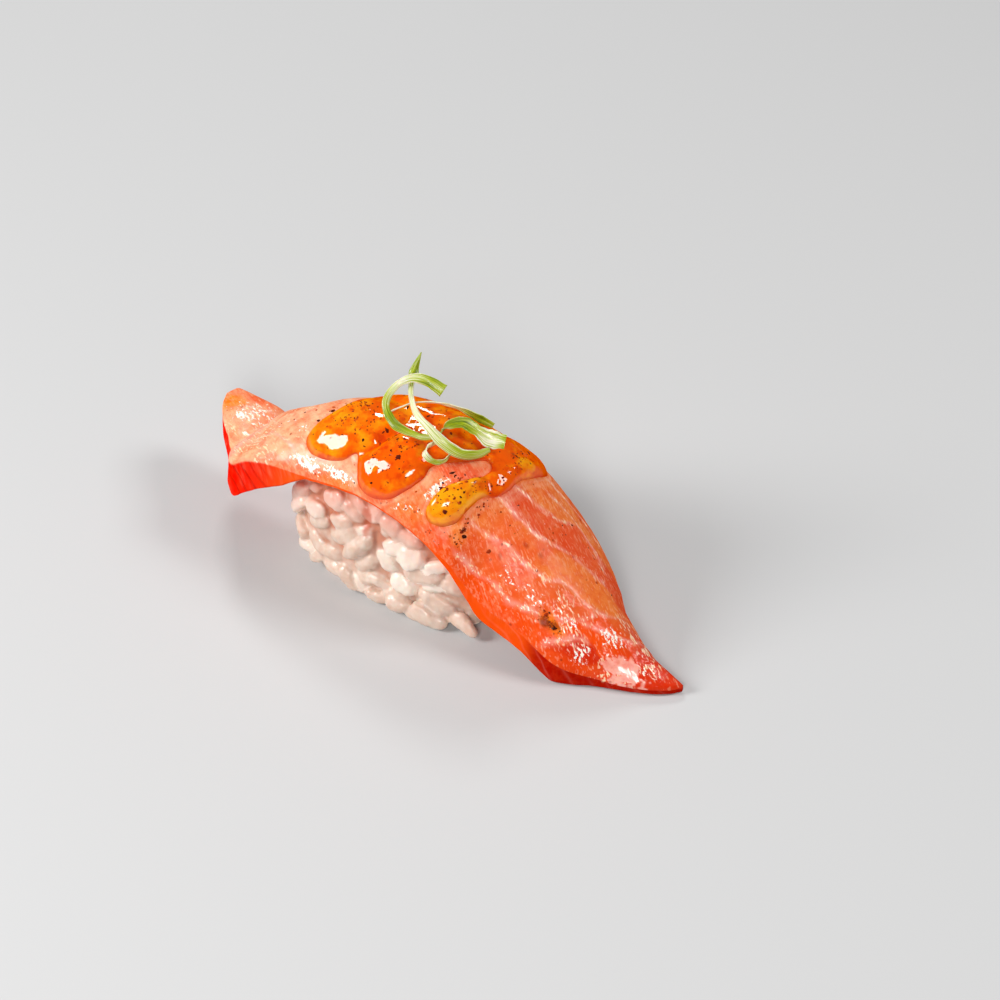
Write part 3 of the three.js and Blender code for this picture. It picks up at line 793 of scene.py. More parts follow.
def salmon_material():
    """Wet flesh under a coat of sauce that fades where it is seen along itself."""
    n = Nodes("salmon_flesh")
    upper = n.fit(n.value("level"), 0.9, 1.0)
    patches = n.fit(n.noise(4.0, detail=1.0), 0.4, 0.6)
    fibres = n.noise((4.0, 0.3, 3.0), turn=30, detail=2.0, roughness=0.6)
    blotches = n.noise(1.2, detail=4.0, roughness=0.65)
    shown = n.times(patches, n.fit(upper, 0, 1, 0.4, 1))
    threads = n.times(fibres, shown)
    beads = n.times(n.cells(0.5), n.value("grain"))
    film = n.times(n.noise(1.0, detail=3.0, distortion=0.8), n.value("uneven"))
    wet = n.bump(beads, 0.10, normal=n.bump(threads, 0.05, normal=n.bump(film, 0.18)))
    soaked = n.times(n.fit(upper, 0, 1, 0.1, 1.0), n.fit(n.value("wet"), 0, 1, 0.05, 1.0))
    n.set(
        Base_Color=salmon_tint(n, upper, shown, fibres, blotches),
        Roughness=n.fit(blotches, 0.3, 0.7, 0.35, 0.5),
        Specular_IOR_Level=0.0,
        Normal=n.bump(threads, 0.06),
        Subsurface_Weight=0.3,
        Subsurface_Radius=(1.0, 0.3, 0.1),
        Subsurface_Scale=1.0 * MM,
        Coat_Weight=n.times(soaked, n.fit(n.grazing(), 0.45, 0.8, 1.0, 0.0)),
        Coat_Roughness=0.04,
        Coat_Normal=wet,
    )
    return n.material


# ---------------------------------------------------------------- rice

RICE_HALF_LENGTH, RICE_HALF_WIDTH, RICE_HEIGHT = 21.0, 11.9, 26.0
RICE_SQUARENESS = 2.6
RICE_FOOT_HEIGHT, RICE_FOOT_INSET = 9.0, (2.3, 0.7)
RICE_SHOULDER_HEIGHT, RICE_SHOULDER_INSET = 13.0, 1.4
RICE_GAP = 0.6

GRAIN_LENGTHS, GRAIN_WIDTHS, GRAIN_FLATNESS = (5.0, 6.6), (2.7, 3.3), 0.85
LAID_LENGTHS = (4.8, 7.8)  # of the grains that are laid one by one
GRAIN_BLUNTNESS, GRAIN_END_POWER = 2.6, 2.1
GRAIN_SEGMENTS, GRAIN_RINGS = 16, 11
GRAIN_SPACING = 0.66  # of neighbours' middle lines, in widths
GRAIN_LEAN, GRAIN_YAW = 50, 9  # usual turns in degrees, along the wall and out of it
GRAIN_LINE = (-0.3, 0, 0.3)  # where points on a grain's middle line are, in lengths
WALL_TILT = 0.12  # of the way out of the wall, upward
LAYERS = [(-0.4, 0.3), (-0.8, -0.4)]  # how far grains stand out from the wall
LAYER_TRIES = 2600
GRAIN_CLEARANCE = 0.25  # below the slice
CORE_INSET = 0.85
CORE_SIDES, CORE_LEVELS = 96, 24
CORE_LIFT, GRAIN_LIFT = 0.02, 0.05  # above the floor
SKIN = 0.235  # size of the creases that stay open between grains
LOOSE_GRAIN = ((11.0, -10.4, 2.6), (16.6, -11.8, 1.3), 2.5)  # both ends and the width
SAUCE_DRIP = ((-3.8, -11.4, 15.6), (1.1, 2.0, 3.0))  # middle and reach, where sauce ran down

# Grains that stand out on the near side: bearing and height of both ends, width, standing out.
NEAR_GRAINS = [
    (-125, 6.8, -104, 13.3, 3.0, 0.7), (-134, 9.4, -117, 12.9, 3.0, 0.3),
    (-147, 6.9, -141, 5.0, 2.4, 0.4), (-78, 10.8, -60, 13.6, 3.9, 0.8),
    (-74, 8.5, -48, 10.3, 3.5, 0.6), (-90, 2.4, -76, 3.7, 2.9, 0.9),
    (-84, 6.5, -69, 4.9, 3.2, 0.6), (-62, 5.8, -40, 3.6, 2.9, 0.9),
    (-66, 3.0, -42, 0.9, 3.1, 2.4), (-107, 4.7, -88, 4.0, 2.6, 0.5),
    (-107, 1.2, -91, 1.2, 2.4, 1.0), (-126, 3.8, -119, 1.4, 2.3, 1.0),
    (-122, 2.7, -108, 1.6, 2.6, 0.5), (-117, 5.4, -99, 9.3, 2.6, 0.1),
    (-97, 11.2, -84, 7.8, 3.5, 0.0), (-139, 2.8, -127, 3.0, 2.4, 0.8),
    (-152, 1.5, -139, 3.9, 2.3, 0.8), (-88, 1.4, -69, 1.4, 3.3, 1.9),
    (-70, 1.2, -57, 1.2, 2.3, 1.7), (-59, 1.2, -45, 1.2, 2.2, 1.5),
    (-163, 10.5, -152, 15.6, 2.6, 0.9), (-163, 8.0, -152, 12.7, 2.4, 1.1),
    (-163, 6.6, -152, 5.0, 2.6, 1.0), (-158, 2.5, -148, 3.9, 2.4, 1.1),
    (-172, 12.0, -160, 9.0, 2.5, 0.8), (-170, 5.5, -160, 3.0, 2.5, 0.9),
    (-152, 12.4, -139, 13.4, 3.0, 0.3), (-140, 17.0, -128, 15.8, 3.0, 0.0),
    (-134, 12.8, -122, 14.2, 2.7, 0.0), (-127, 17.0, -116, 15.2, 2.8, -0.1),
    (-149, 9.1, -137, 12.1, 2.7, 0.2), (-142, 4.9, -129, 6.0, 2.9, 0.2),
    (-95, 17.2, -81, 16.0, 3.3, 0.1), (-90, 12.3, -77, 13.8, 2.8, 0.0),
    (-77, 15.8, -64, 15.0, 3.2, 0.1), (-57, 11.2, -46, 12.6, 2.4, 0.2),
    (-58, 7.3, -48, 8.2, 2.3, 0.2), (-50, 8.7, -37, 7.6, 2.7, 0.4),
]


def rice_wall(bearing, z, out=0.0):
    """Places on the block's wall at bearings and heights, or out of it by a distance."""
    foot = (1 - np.clip(z / RICE_FOOT_HEIGHT, 0, 1)) ** 2
    rise = (z - RICE_SHOULDER_HEIGHT) / (RICE_HEIGHT - RICE_SHOULDER_HEIGHT)
    shoulder = RICE_SHOULDER_INSET * np.clip(rise, 0, 1)
    half_length = RICE_HALF_LENGTH - RICE_FOOT_INSET[0] * foot - shoulder
    half_width = RICE_HALF_WIDTH - RICE_FOOT_INSET[1] * foot - shoulder
    reach = (
        np.abs(np.cos(bearing) / half_length) ** RICE_SQUARENESS
        + np.abs(np.sin(bearing) / half_width) ** RICE_SQUARENESS
    )
    radius = reach ** (-1 / RICE_SQUARENESS) + out
    return np.stack([radius * np.cos(bearing), radius * np.sin(bearing), z + 0 * radius], -1)


def rice_core():
    """Points and faces of the block inside the grains."""
    bearings = np.linspace(0, 2 * math.pi, CORE_SIDES, endpoint=False)
    rings = []
    for share in np.linspace(0, 1, CORE_LEVELS):
        wall = rice_wall(bearings, np.full(CORE_SIDES, share * RICE_HEIGHT), -CORE_INSET)
        ceiling = underside_at(wall[:, 0], wall[:, 1]) - RICE_GAP
        wall[:, 2] = np.maximum(share * ceiling, CORE_LIFT)
        rings.append(wall)
    for shrink in (0.7, 0.35):
        inner = rings[CORE_LEVELS - 1] * [shrink, shrink, 1]
        inner[:, 2] = underside_at(inner[:, 0], inner[:, 1]) - RICE_GAP
        rings.append(inner)
    foot, crown = [0, 0, CORE_LIFT], [0, 0, float(underside_at(0.0, 0.0)) - RICE_GAP]
    return np.vstack([*rings, foot, crown]), tube_faces(len(rings), CORE_SIDES)


def painted_bounce_at(points):
    """How much painted pink light, bounced from the salmon, the rice takes, from its distance below the
    slice.
    """
    below = underside_at(points[:, 0], points[:, 1]) - points[:, 2]
    return ramp(below, 9, 0.5)


def drip_at(points):
    """How much sauce stains the rice below the slice's near edge."""
    middle, reach = np.array(SAUCE_DRIP)
    radius = np.linalg.norm((points - middle) / reach, axis=1) + 0.4 * ripple(points, 1.0, 73)
    return ramp(radius, 1.1, 0.5)


def grain_shape(chance):
    """Points of one grain along X: blunt, a little flat and bent, with an uneven outline."""
    rings = []
    bend = chance.uniform(-0.10, 0.10)
    taper = chance.uniform(-0.18, 0.18)
    facets = chance.uniform(0, 2 * math.pi)
    angle = np.linspace(0, 2 * math.pi, GRAIN_SEGMENTS, endpoint=False)
    lobes = 1 + 0.05 * np.cos(2 * angle + facets) + 0.05 * np.cos(3 * angle - facets)
    power = GRAIN_BLUNTNESS
    square = 0.5 * (np.abs(np.cos(angle)) ** power + np.abs(np.sin(angle)) ** power) ** (-1 / power)
    for place in np.cos(np.linspace(0, math.pi, GRAIN_RINGS + 2)[1:-1]):
        end = (1 - abs(place) ** power) ** (1 / GRAIN_END_POWER)
        radius = end * (1 + taper * place) * lobes * square
        rings.append(np.stack([
            np.full_like(angle, place / 2),
            radius * np.cos(angle) + bend * (1 - place**2),
            radius * np.sin(angle),
        ], -1))
    return np.vstack([*rings, [[0.5, 0, 0], [-0.5, 0, 0]]])


def wall_ways(bearing, z):
    """The directions along the wall and straight out of it."""
    step = 0.01
    ahead = unit(rice_wall(bearing + step, z) - rice_wall(bearing - step, z))
    return ahead, unit(np.array([ahead[1], -ahead[0], WALL_TILT]))


def line_of(middle, along, length):
    """Three points on a grain's middle line."""
    return middle + np.outer(GRAIN_LINE, along * length)


def laid_grain(first, second, bearing, z, width, out=None):
    """A grain from end to end: at a distance out of the wall, or where its ends are."""
    _, outward = wall_ways(bearing, z)
    length = float(np.clip(np.linalg.norm(second - first), *LAID_LENGTHS))
    along, middle = second - first, (first + second) / 2
    if out is not None:
        along = along - outward * (along @ outward)
        middle = rice_wall(bearing, z) + outward * (out - GRAIN_FLATNESS * width / 2)
    return middle, unit(along), outward, length, width


def near_grain(first, low, second, high, width, out):
    """A grain on the near side, from the bearing and height of both ends."""
    ends = [rice_wall(math.radians(b), z) for b, z in ((first, low), (second, high))]
    return laid_grain(*ends, math.radians((first + second) / 2), (low + high) / 2, width, out)


def loose_grain(first, second, width):
    """A grain that leans on the block's foot."""
    bearing = math.atan2(first[1], first[0])
    return laid_grain(np.array(first), np.array(second), bearing, first[2], width)


def scattered_grain(chance, lowest, highest):
    """A grain somewhere on the wall, or None where there is no wall below the slice."""
    bearing, z = chance.uniform(-math.pi, math.pi), chance.uniform(1.0, RICE_HEIGHT)
    foot = rice_wall(bearing, z)
    if z > underside_at(foot[0], foot[1]) - RICE_GAP - 1.0:
        return None
    ahead, outward = wall_ways(bearing, z)
    upward = np.cross(outward, ahead)
    lean, yaw = (math.radians(chance.gauss(0, turn)) for turn in (GRAIN_LEAN, GRAIN_YAW))
    along = ahead * math.cos(lean) + upward * math.sin(lean)
    along = along * math.cos(yaw) + outward * math.sin(yaw)
    length, width = chance.uniform(*GRAIN_LENGTHS), chance.uniform(*GRAIN_WIDTHS)
    out = chance.uniform(lowest, highest)
    middle = foot + outward * (out - GRAIN_FLATNESS * width / 2)
    return middle, along, outward, length, width


def grain_places():
    """Every grain's middle, direction along, direction out, length and width."""
    chance = random.Random(5)
    places = [near_grain(*row) for row in NEAR_GRAINS] + [loose_grain(*LOOSE_GRAIN)]
    lines = [line_of(middle, along, length) for middle, along, _, length, _ in places]
    for layer in LAYERS:
        for _ in range(LAYER_TRIES):
            grain = scattered_grain(chance, *layer)
            if grain is None:
                continue
            middle, along, _, length, width = grain
            line = line_of(middle, along, length)
            if lines:
                gaps = np.linalg.norm(np.array(lines)[:, :, None] - line[None, None], axis=-1)
                if gaps.min() < GRAIN_SPACING * width:
                    continue
            lines.append(line)
            places.append(grain)
        lines = []
    return places


def rice_heap():
    """Points and faces of the core and all its grains, and the middle line of every grain."""
    chance = random.Random(7)
    grain_faces = tube_faces(GRAIN_RINGS, GRAIN_SEGMENTS)
    core, faces = rice_core()
    bodies, lines = [core], []
    start = len(core)
    for middle, along, outward, length, width in grain_places():
        side = unit(np.cross(outward, along))
        size = [length, width, GRAIN_FLATNESS * width]
        ways = np.array([along, side, np.cross(along, side)])
        grain = grain_shape(chance) * size @ ways + middle
        grain[:, 2] += max(GRAIN_LIFT - grain[:, 2].min(), 0)
        ceiling = underside_at(grain[:, 0], grain[:, 1]) - GRAIN_CLEARANCE
        grain[:, 2] = np.minimum(grain[:, 2], ceiling)
        bodies.append(grain)
        faces += [tuple(start + n for n in face) for face in grain_faces]
        start += len(grain)
        lines.append(line_of(middle, along, length))
    return np.vstack(bodies), faces, lines


def sticky_skin(points, faces):
    """One skin round bodies that touch, in a mesh that keeps creases between them."""
    lump = make_piece("lump", points, faces)
    skin = lump.modifiers.new("skin", "REMESH")
    skin.mode, skin.voxel_size = "VOXEL", SKIN * MM
    soften = lump.modifiers.new("soften", "SMOOTH")
    soften.factor, soften.iterations = 0.5, 1
    graph = bpy.context.evaluated_depsgraph_get()
    mesh = bpy.data.meshes.new_from_object(lump.evaluated_get(graph))
    bpy.data.objects.remove(lump)
    mesh.name = "rice_grains"
    mesh.shade_smooth()
    return mesh


def make_rice():
    """The grains and their core under one skin, as sticky rice is, with creases between grains."""
    points, faces, lines = rice_heap()
    mesh = sticky_skin(points, faces)
    places, outward = np.empty((2, 3 * len(mesh.vertices)))
    mesh.vertices.foreach_get("co", places)
    mesh.vertices.foreach_get("normal", outward)
    places, outward = places.reshape(-1, 3) / MM - SHIFT, outward.reshape(-1, 3)
    uneven = 0.18 * ripple(places, 1.7, 71) + 0.10 * ripple(places, 0.75, 72)
    places = places + outward * (uneven * ramp(places[:, 2], 0.1, 0.8))[:, None]
    mesh.vertices.foreach_set("co", ((places + SHIFT) * MM).ravel())

    tree = KDTree(3 * len(lines))
    for n, line in enumerate(lines):
        for point in line:
            tree.insert(Vector(point), n)
    tree.balance()
    chance = random.Random(9)
    tones = [chance.random() for _ in lines]
    tone = [tones[tree.find(Vector(place))[1]] for place in places]
    bearing = np.arctan2(places[:, 1], places[:, 0])
    wall = np.hypot(*rice_wall(bearing, places[:, 2])[:, :2].T)
    # painted shade: brown in the creases, by depth below the block's wall
    crease_shade = ramp(wall - np.hypot(places[:, 0], places[:, 1]), 0.4, 1.15)
    shares = {"painted_bounce": painted_bounce_at(places), "tone": tone, "crease_shade": crease_shade, "drip": drip_at(places)}
    add_attributes(mesh, shares)
    return add_object("rice_grains", mesh)


def rice_material():
    """Sticky white grains, with painted brown shade in the gaps, painted pink light bounced from the
    slice near it, and stained below the slice.
    """
    n = Nodes("rice_white")
    white, warm, milky = colour(225, 201, 184), colour(210, 171, 147), colour(250, 236, 222)
    # the pink is painted light bounced from the slice, the brown painted shade in the creases
    painted_bounce, shade_brown, stain = colour(224, 150, 130), colour(190, 112, 78), colour(196, 84, 40)
    mottle = n.noise(1.4, detail=3.0)
    tint = n.mix(n.fit(mottle, 0.35, 0.7, 0.0, 0.6), white, warm)
    tint = n.mix(n.fit(n.value("tone"), 0.45, 0.95, 0.0, 0.9), tint, milky)
    for key, share, other in (("painted_bounce", 0.75, painted_bounce), ("crease_shade", 0.9, shade_brown), ("drip", 0.7, stain)):
        tint = n.mix(n.fit(n.value(key), 0.0, 1.0, 0.0, share), tint, other)
    lumps = n.bump(n.noise(1.2, detail=2.0), 0.12)
    n.set(
        Base_Color=tint,
        Roughness=n.fit(mottle, 0.3, 0.7, 0.32, 0.55),
        Normal=n.bump(n.noise(0.45, detail=2.0), 0.03, normal=lumps),
        Subsurface_Weight=0.6,
        Subsurface_Radius=(1.0, 0.6, 0.45),
        Subsurface_Scale=0.8 * MM,
        Specular_IOR_Level=0.5,
        Coat_Weight=0.35,
        Coat_Roughness=0.12,
        Coat_Normal=n.bump(n.noise(0.5, detail=2.0), 0.06),
    )
    return n.material


# ---------------------------------------------------------------- glaze

# The pools' shared outline on the slice seen from above, with an inlet of bare salmon.
GLAZE_OUTLINE = [
    (-17, -7.2), (-16.8, -5.6), (-15.8, -3.6), (-14.2, -1), (-12, 2.6), (-9, 6), (-5, 8.4),
    (0, 9.6), (5, 9.4), (9, 9.4), (12.4, 11), (15.4, 11.2), (17.4, 8.8), (17.4, 5.2),
    (16.5, 1.8), (16.3, -1), (15.4, -3.6), (13.8, -5), (12.8, -7.6), (12, -10), (10.2, -11.5),
    (8.2, -11.9), (7.1, -11.1), (7.8, -8.9), (9.4, -6.7), (11, -4.8), (12.3, -2.6), (12.7, -0.4),
    (11.4, 0.4), (9, -2.4), (6.6, -4.4), (5.1, -6), (4.8, -7.8), (3.2, -9.9), (0.8, -11.6),
    (-2.4, -12), (-5, -11.2), (-6.3, -9.4), (-7.4, -7.7), (-9.4, -8.8), (-12, -9), (-15.2, -8.6),
]
# Thick parts, each an ellipse seen from above: middle, length, width, turn in degrees, height,
# and how golden the sauce is there.
GLAZE_LOBES = [
    (-10.5, -3, 17, 11, 30, 1.5, 0.35),
    (1, 5.4, 22, 9, -4, 1.3, 0.2),
    (-1.4, -7.4, 12, 10, 10, 1.8, 0.05),
    (10.6, -8, 11, 6.4, 60, 1.7, 0.85),
    (15.2, 5.6, 18, 10.6, 93, 1.3, -0.1),
    (16.0, 4.6, 5.4, 3.4, 80, 1.15, 1.2),
]
GLAZE_VALLEY = ((-8.0, -9.2), (-4.6, -6.2), (-2.4, -2.6))  # a groove between two pools
VALLEY_WIDTH, VALLEY_SHARE = 0.9, 0.8
LOBE_SPREAD, LOBE_PULL = 1.12, 2.5  # reach of a thick part, and how fast its colour fades
FILM = 0.45  # thickness of the glaze between its thick parts
GLAZE_GRID = 0.22
GLAZE_MARGIN = 2  # of the grid beyond the outline
GLAZE_LIFT = 0.12  # of a pool's rim above the slice
GLAZE_SINK = 0.25  # of the lower face into the slice


def closed_curve(points, steps):
    """Points along a smooth closed curve through points, steps to each stretch."""
    points = np.array(points, float)
    share = np.linspace(0, 1, steps, endpoint=False)[:, None]
    around = [np.roll(points, -k, 0) for k in (-1, 0, 1, 2)]
    return np.vstack([curve_between(*stretch, share) for stretch in zip(*around)])


def outline_level(x, y):
    """Distance inside the glaze's outline, below 0 outside, and the outline's nearest point."""
    corners = closed_curve(GLAZE_OUTLINE, 6)
    spots = np.stack([np.ravel(x), np.ravel(y)], -1)
    best = np.full(len(spots), np.inf)
    nearest = np.zeros_like(spots)
    crossings = np.zeros(len(spots), int)
    for first, second in zip(corners, np.roll(corners, -1, 0)):
        foot = nearest_on(spots, first, second)
        distance = np.linalg.norm(spots - foot, axis=1)
        closer = distance < best
        best[closer], nearest[closer] = distance[closer], foot[closer]
        between = (first[1] > spots[:, 1]) != (second[1] > spots[:, 1])
        way = second - first
        level_x = first[0] + (spots[:, 1] - first[1]) * way[0] / (way[1] or TINY)
        crossings += between & (spots[:, 0] < level_x)
    level = np.where(crossings % 2 == 1, best, -best)
    return level.reshape(np.shape(x)), nearest.reshape((*np.shape(x), 2))


def valley_share(x, y):
    """How much of the thickness is missing in the groove between the two near pools."""
    spots = np.stack([x, y], -1)
    nearest = np.full(np.shape(x), np.inf)
    for first, second in itertools.pairwise(np.array(GLAZE_VALLEY)):
        aside = np.linalg.norm(spots - nearest_on(spots, first, second), axis=-1)
        nearest = np.minimum(nearest, aside)
    return VALLEY_SHARE * hump(nearest, VALLEY_WIDTH)


def glaze_lobes(x, y):
    """Height of the thick parts above the slice, and how golden they are."""
    bulk, gold, pulls = np.zeros((3, *np.shape(x)))
    for mid_x, mid_y, length, width, turn, tall, golden in GLAZE_LOBES:
        radius = ellipse_radius(x, y, mid_x, mid_y, length / 2, width / 2, turn) / LOBE_SPREAD
        bulk += (tall * (1 - np.minimum(radius, 1) ** 4)) ** 3
        pull = np.exp(-LOBE_PULL * radius**2) + TINY
        gold += golden * pull
        pulls += pull
    return bulk ** (1 / 3), gold / pulls


def glaze_height(x, y, level):
    """Height of the glaze above the slice, with a round rim."""
    spots = np.stack([x, y, 0 * x], -1)
    thick = np.maximum(glaze_lobes(x, y)[0], FILM) * (1 + 0.12 * ripple(spots, 3.0, 41))
    thick = thick * (1 - valley_share(x, y))
    rim = np.clip(level / (0.5 + 0.55 * thick), 0, 1)
    return thick * np.sqrt(1 - (1 - rim) ** 2)


def glaze_top(x, y):
    """Height of the glaze's upper face."""
    level, _ = outline_level(x, y)
    return top_at(x, y) + GLAZE_LIFT + glaze_height(x, y, level)


def glaze_faces(cell, index, total):
    """Both faces of the glaze over the cells of its grid, and the rim between them."""
    faces = []
    bounded = np.pad(cell, 1)
    for i, j in zip(*np.nonzero(cell)):
        a, b, c, d = index[i, j], index[i + 1, j], index[i + 1, j + 1], index[i, j + 1]
        faces.append((a, b, c, d))
        faces.append((a + total, d + total, c + total, b + total))
        sides = (((0, -1), a, b), ((0, 1), c, d), ((-1, 0), d, a), ((1, 0), b, c))
        for (di, dj), first, second in sides:
            if not bounded[i + 1 + di, j + 1 + dj]:
                faces.append((first, first + total, second + total, second))
    return faces


def make_glaze():
    """A closed skin on a grid, whose outermost points lie on the glaze's outline."""
    step = GLAZE_GRID
    outline = np.array(GLAZE_OUTLINE)
    (left, near), (right, far) = outline.min(0) - GLAZE_MARGIN, outline.max(0) + GLAZE_MARGIN
    x, y = np.meshgrid(np.arange(left, right, step), np.arange(near, far, step), indexing="ij")
    level, nearest = outline_level(x, y)
    inside = level > 0
    cell = inside[:-1, :-1] | inside[1:, :-1] | inside[:-1, 1:] | inside[1:, 1:]
    used = np.zeros_like(inside)
    for dx, dy in itertools.product((0, 1), repeat=2):
        used[dx : dx + cell.shape[0], dy : dy + cell.shape[1]] |= cell
    rim = used & ~inside
    x, y = np.where(rim, nearest[..., 0], x), np.where(rim, nearest[..., 1], y)
    height = glaze_height(x, y, np.where(rim, 0, level))[used]
    x, y = x[used], y[used]
    base, gold = top_at(x, y), glaze_lobes(x, y)[1]
    total = len(x)
    index = np.full(used.shape, -1)
    index[used] = np.arange(total)
    upper = np.stack([x, y, base + GLAZE_LIFT + height], -1)
    lower = np.stack([x, y, base - GLAZE_SINK], -1)
    attributes = {"depth": np.r_[height, 0 * height], "gold": np.r_[gold, gold]}
    faces = glaze_faces(cell, index, total)
    return make_piece("glaze_pools", np.vstack([upper, lower]), faces, attributes)


def glaze_material():
    """Clear amber sauce, more golden in places and darker where it is thin."""
    n = Nodes("glaze_amber")
    amber, gold, burnt = colour(240, 92, 0), colour(255, 164, 12), colour(204, 42, 0)
    clouds = n.fit(n.noise(2.2, detail=3.0), 0.35, 0.65, -0.35, 0.45)
    tint = n.mix(n.fit(n.plus(n.value("gold"), clouds), 0.1, 1.0), amber, gold)
    tint = n.mix(n.fit(n.noise(1.5, detail=2.0), 0.55, 0.7, 0.0, 0.6), tint, burnt)
    tint = n.mix(n.fit(n.value("depth"), 0.6, 0.1, 0.0, 0.6), tint, burnt)
    n.set(
        Base_Color=tint,
        Roughness=0.3,
        Specular_IOR_Level=0.0,
        Subsurface_Weight=0.25,
        Subsurface_Radius=(1.0, 0.35, 0.1),
        Subsurface_Scale=1.0 * MM,
        Coat_Weight=n.fit(n.grazing(), 0.35, 0.65, 1.0, 0.0),
        Coat_Roughness=0.02,
        Coat_Normal=n.bump(n.noise(1.8, detail=1.0), 0.12),
    )
    return n.material


# Where pepper lies: middle, spread in X and Y, how many flakes.
PEPPER_SPOTS = [
    (-11, -3, 3.6, 2.6, 80), (-1.5, -7, 3.2, 2.8, 90), (10.2, -8.2, 1.6, 2.0, 80),
    (13.6, -4.4, 1.0, 1.4, 40), (15.2, 3, 1.4, 4.0, 50), (1, 3, 5.0, 3.0, 60),
    (13.2, -10.2, 0.2, 0.9, 34), (12, -11.6, 1.2, 0.8, 14), (2, -11.8, 3.4, 0.5, 9),
    (20, -5, 4.0, 3.4, 20), (29.4, -11.4, 0.9, 0.35, 44), (27, 0, 6.0, 3.4, 16),
    (-10, -0.6, 2.6, 0.9, 30), (-25, -4, 5, 3, 7),
]
FLAKE_LENGTHS = (0.26, 0.66)
FLAKE_FACES = ((-0.05, 1.0), (0.03, 0.85))  # height above the surface and size, lower and upper
LARGE_FLAKES, LARGE_FLAKE = 0.1, 2.0  # share and size of the large ones
FLAKE_WIDTHS = (0.35, 0.9)  # in lengths
FLAKE_CORNERS, CORNER_WANDER, CORNER_REACH = (5, 6), 0.25, (0.55, 1.15)
EDGE_CLEARANCE, RIM_CLEARANCE = 0.4, 0.3  # from the slice's outline and from the pools' rims
PEPPER_STEP = 0.1  # to the places that the surface's slope is measured from
PEPPER_COLOURS = [(52, 12, 2), (96, 22, 4), (132, 34, 6), (164, 48, 6), (186, 62, 8), (204, 84, 12)]


def flake_points(chance, middle, up):
    """The corners of a flake's lower face, then those of its upper one."""
    turn = chance.uniform(0, math.pi)
    long = np.array([math.cos(turn), math.sin(turn), 0.0])
    long = long - up * (long @ up)
    wide = np.cross(up, long)
    length = chance.uniform(*FLAKE_LENGTHS) / 2
    length = length * (LARGE_FLAKE if chance.random() < LARGE_FLAKES else 1)
    width = length * chance.uniform(*FLAKE_WIDTHS)
    corners = chance.choice(FLAKE_CORNERS)
    points = []
    for (lift, share), corner in itertools.product(FLAKE_FACES, range(corners)):
        wander = chance.uniform(-CORNER_WANDER, CORNER_WANDER)
        angle = 2 * math.pi * (corner + wander) / corners
        reach = share * chance.uniform(*CORNER_REACH)
        aside = long * math.cos(angle) * length + wide * math.sin(angle) * width
        points.append(middle + up * lift + aside * reach)
    return points


def flake_faces(start, corners):
    """Both faces of a flake and the sides between them."""
    lower = [start + k for k in range(corners)]
    upper = [start + corners + k for k in range(corners)]
    sides = zip(lower, lower[1:] + lower[:1], upper[1:] + upper[:1], upper)
    return [tuple(upper), tuple(lower[::-1]), *sides]


def pepper_places(chance):
    """Where the flakes are in X and Y, clear of edges and rims, and which are on the glaze."""
    x, y = np.array([
        (chance.gauss(mid_x, spread_x), chance.gauss(mid_y, spread_y))
        for mid_x, mid_y, spread_x, spread_y, count in PEPPER_SPOTS
        for _ in range(count)
    ]).T
    level, _ = outline_level(x, y)
    kept = (y > near_y(x) + EDGE_CLEARANCE) & (y < far_y(x) - EDGE_CLEARANCE)
    kept &= np.abs(level) > RIM_CLEARANCE
    return x[kept], y[kept], level[kept] > 0


def make_pepper():
    """Thin flakes with five or six corners that lie flat on the glaze and on the salmon."""
    chance = random.Random(3)
    x, y, glazed = pepper_places(chance)

    def surface(x, y):
        """Height of what the flakes lie on."""
        return np.where(glazed, glaze_top(x, y), top_at(x, y))

    step = PEPPER_STEP
    z = surface(x, y)
    ups = unit(np.stack([z - surface(x + step, y), z - surface(x, y + step), 0 * z + step], -1))
    points, faces, tints = [], [], []
    for middle, up in zip(np.stack([x, y, z], -1), ups):
        flake = flake_points(chance, middle, up)
        faces += flake_faces(len(points), len(flake) // 2)
        points += flake
        tints += [colour(*chance.choice(PEPPER_COLOURS))] * len(flake)
    return make_piece("pepper_flakes", points, faces, {"tint": np.array(tints)})


def pepper_material():
    """Dull flakes, each with its own colour."""
    n = Nodes("pepper_dark")
    mottle = n.fit(n.noise(0.2), 0.4, 0.7, 0.0, 0.4)
    tint = n.mix(mottle, n.colour("tint"), colour(90, 30, 8))
    n.set(Base_Color=tint, Roughness=0.7, Specular_IOR_Level=0.1)
    return n.material


# ---------------------------------------------------------------- spring onion

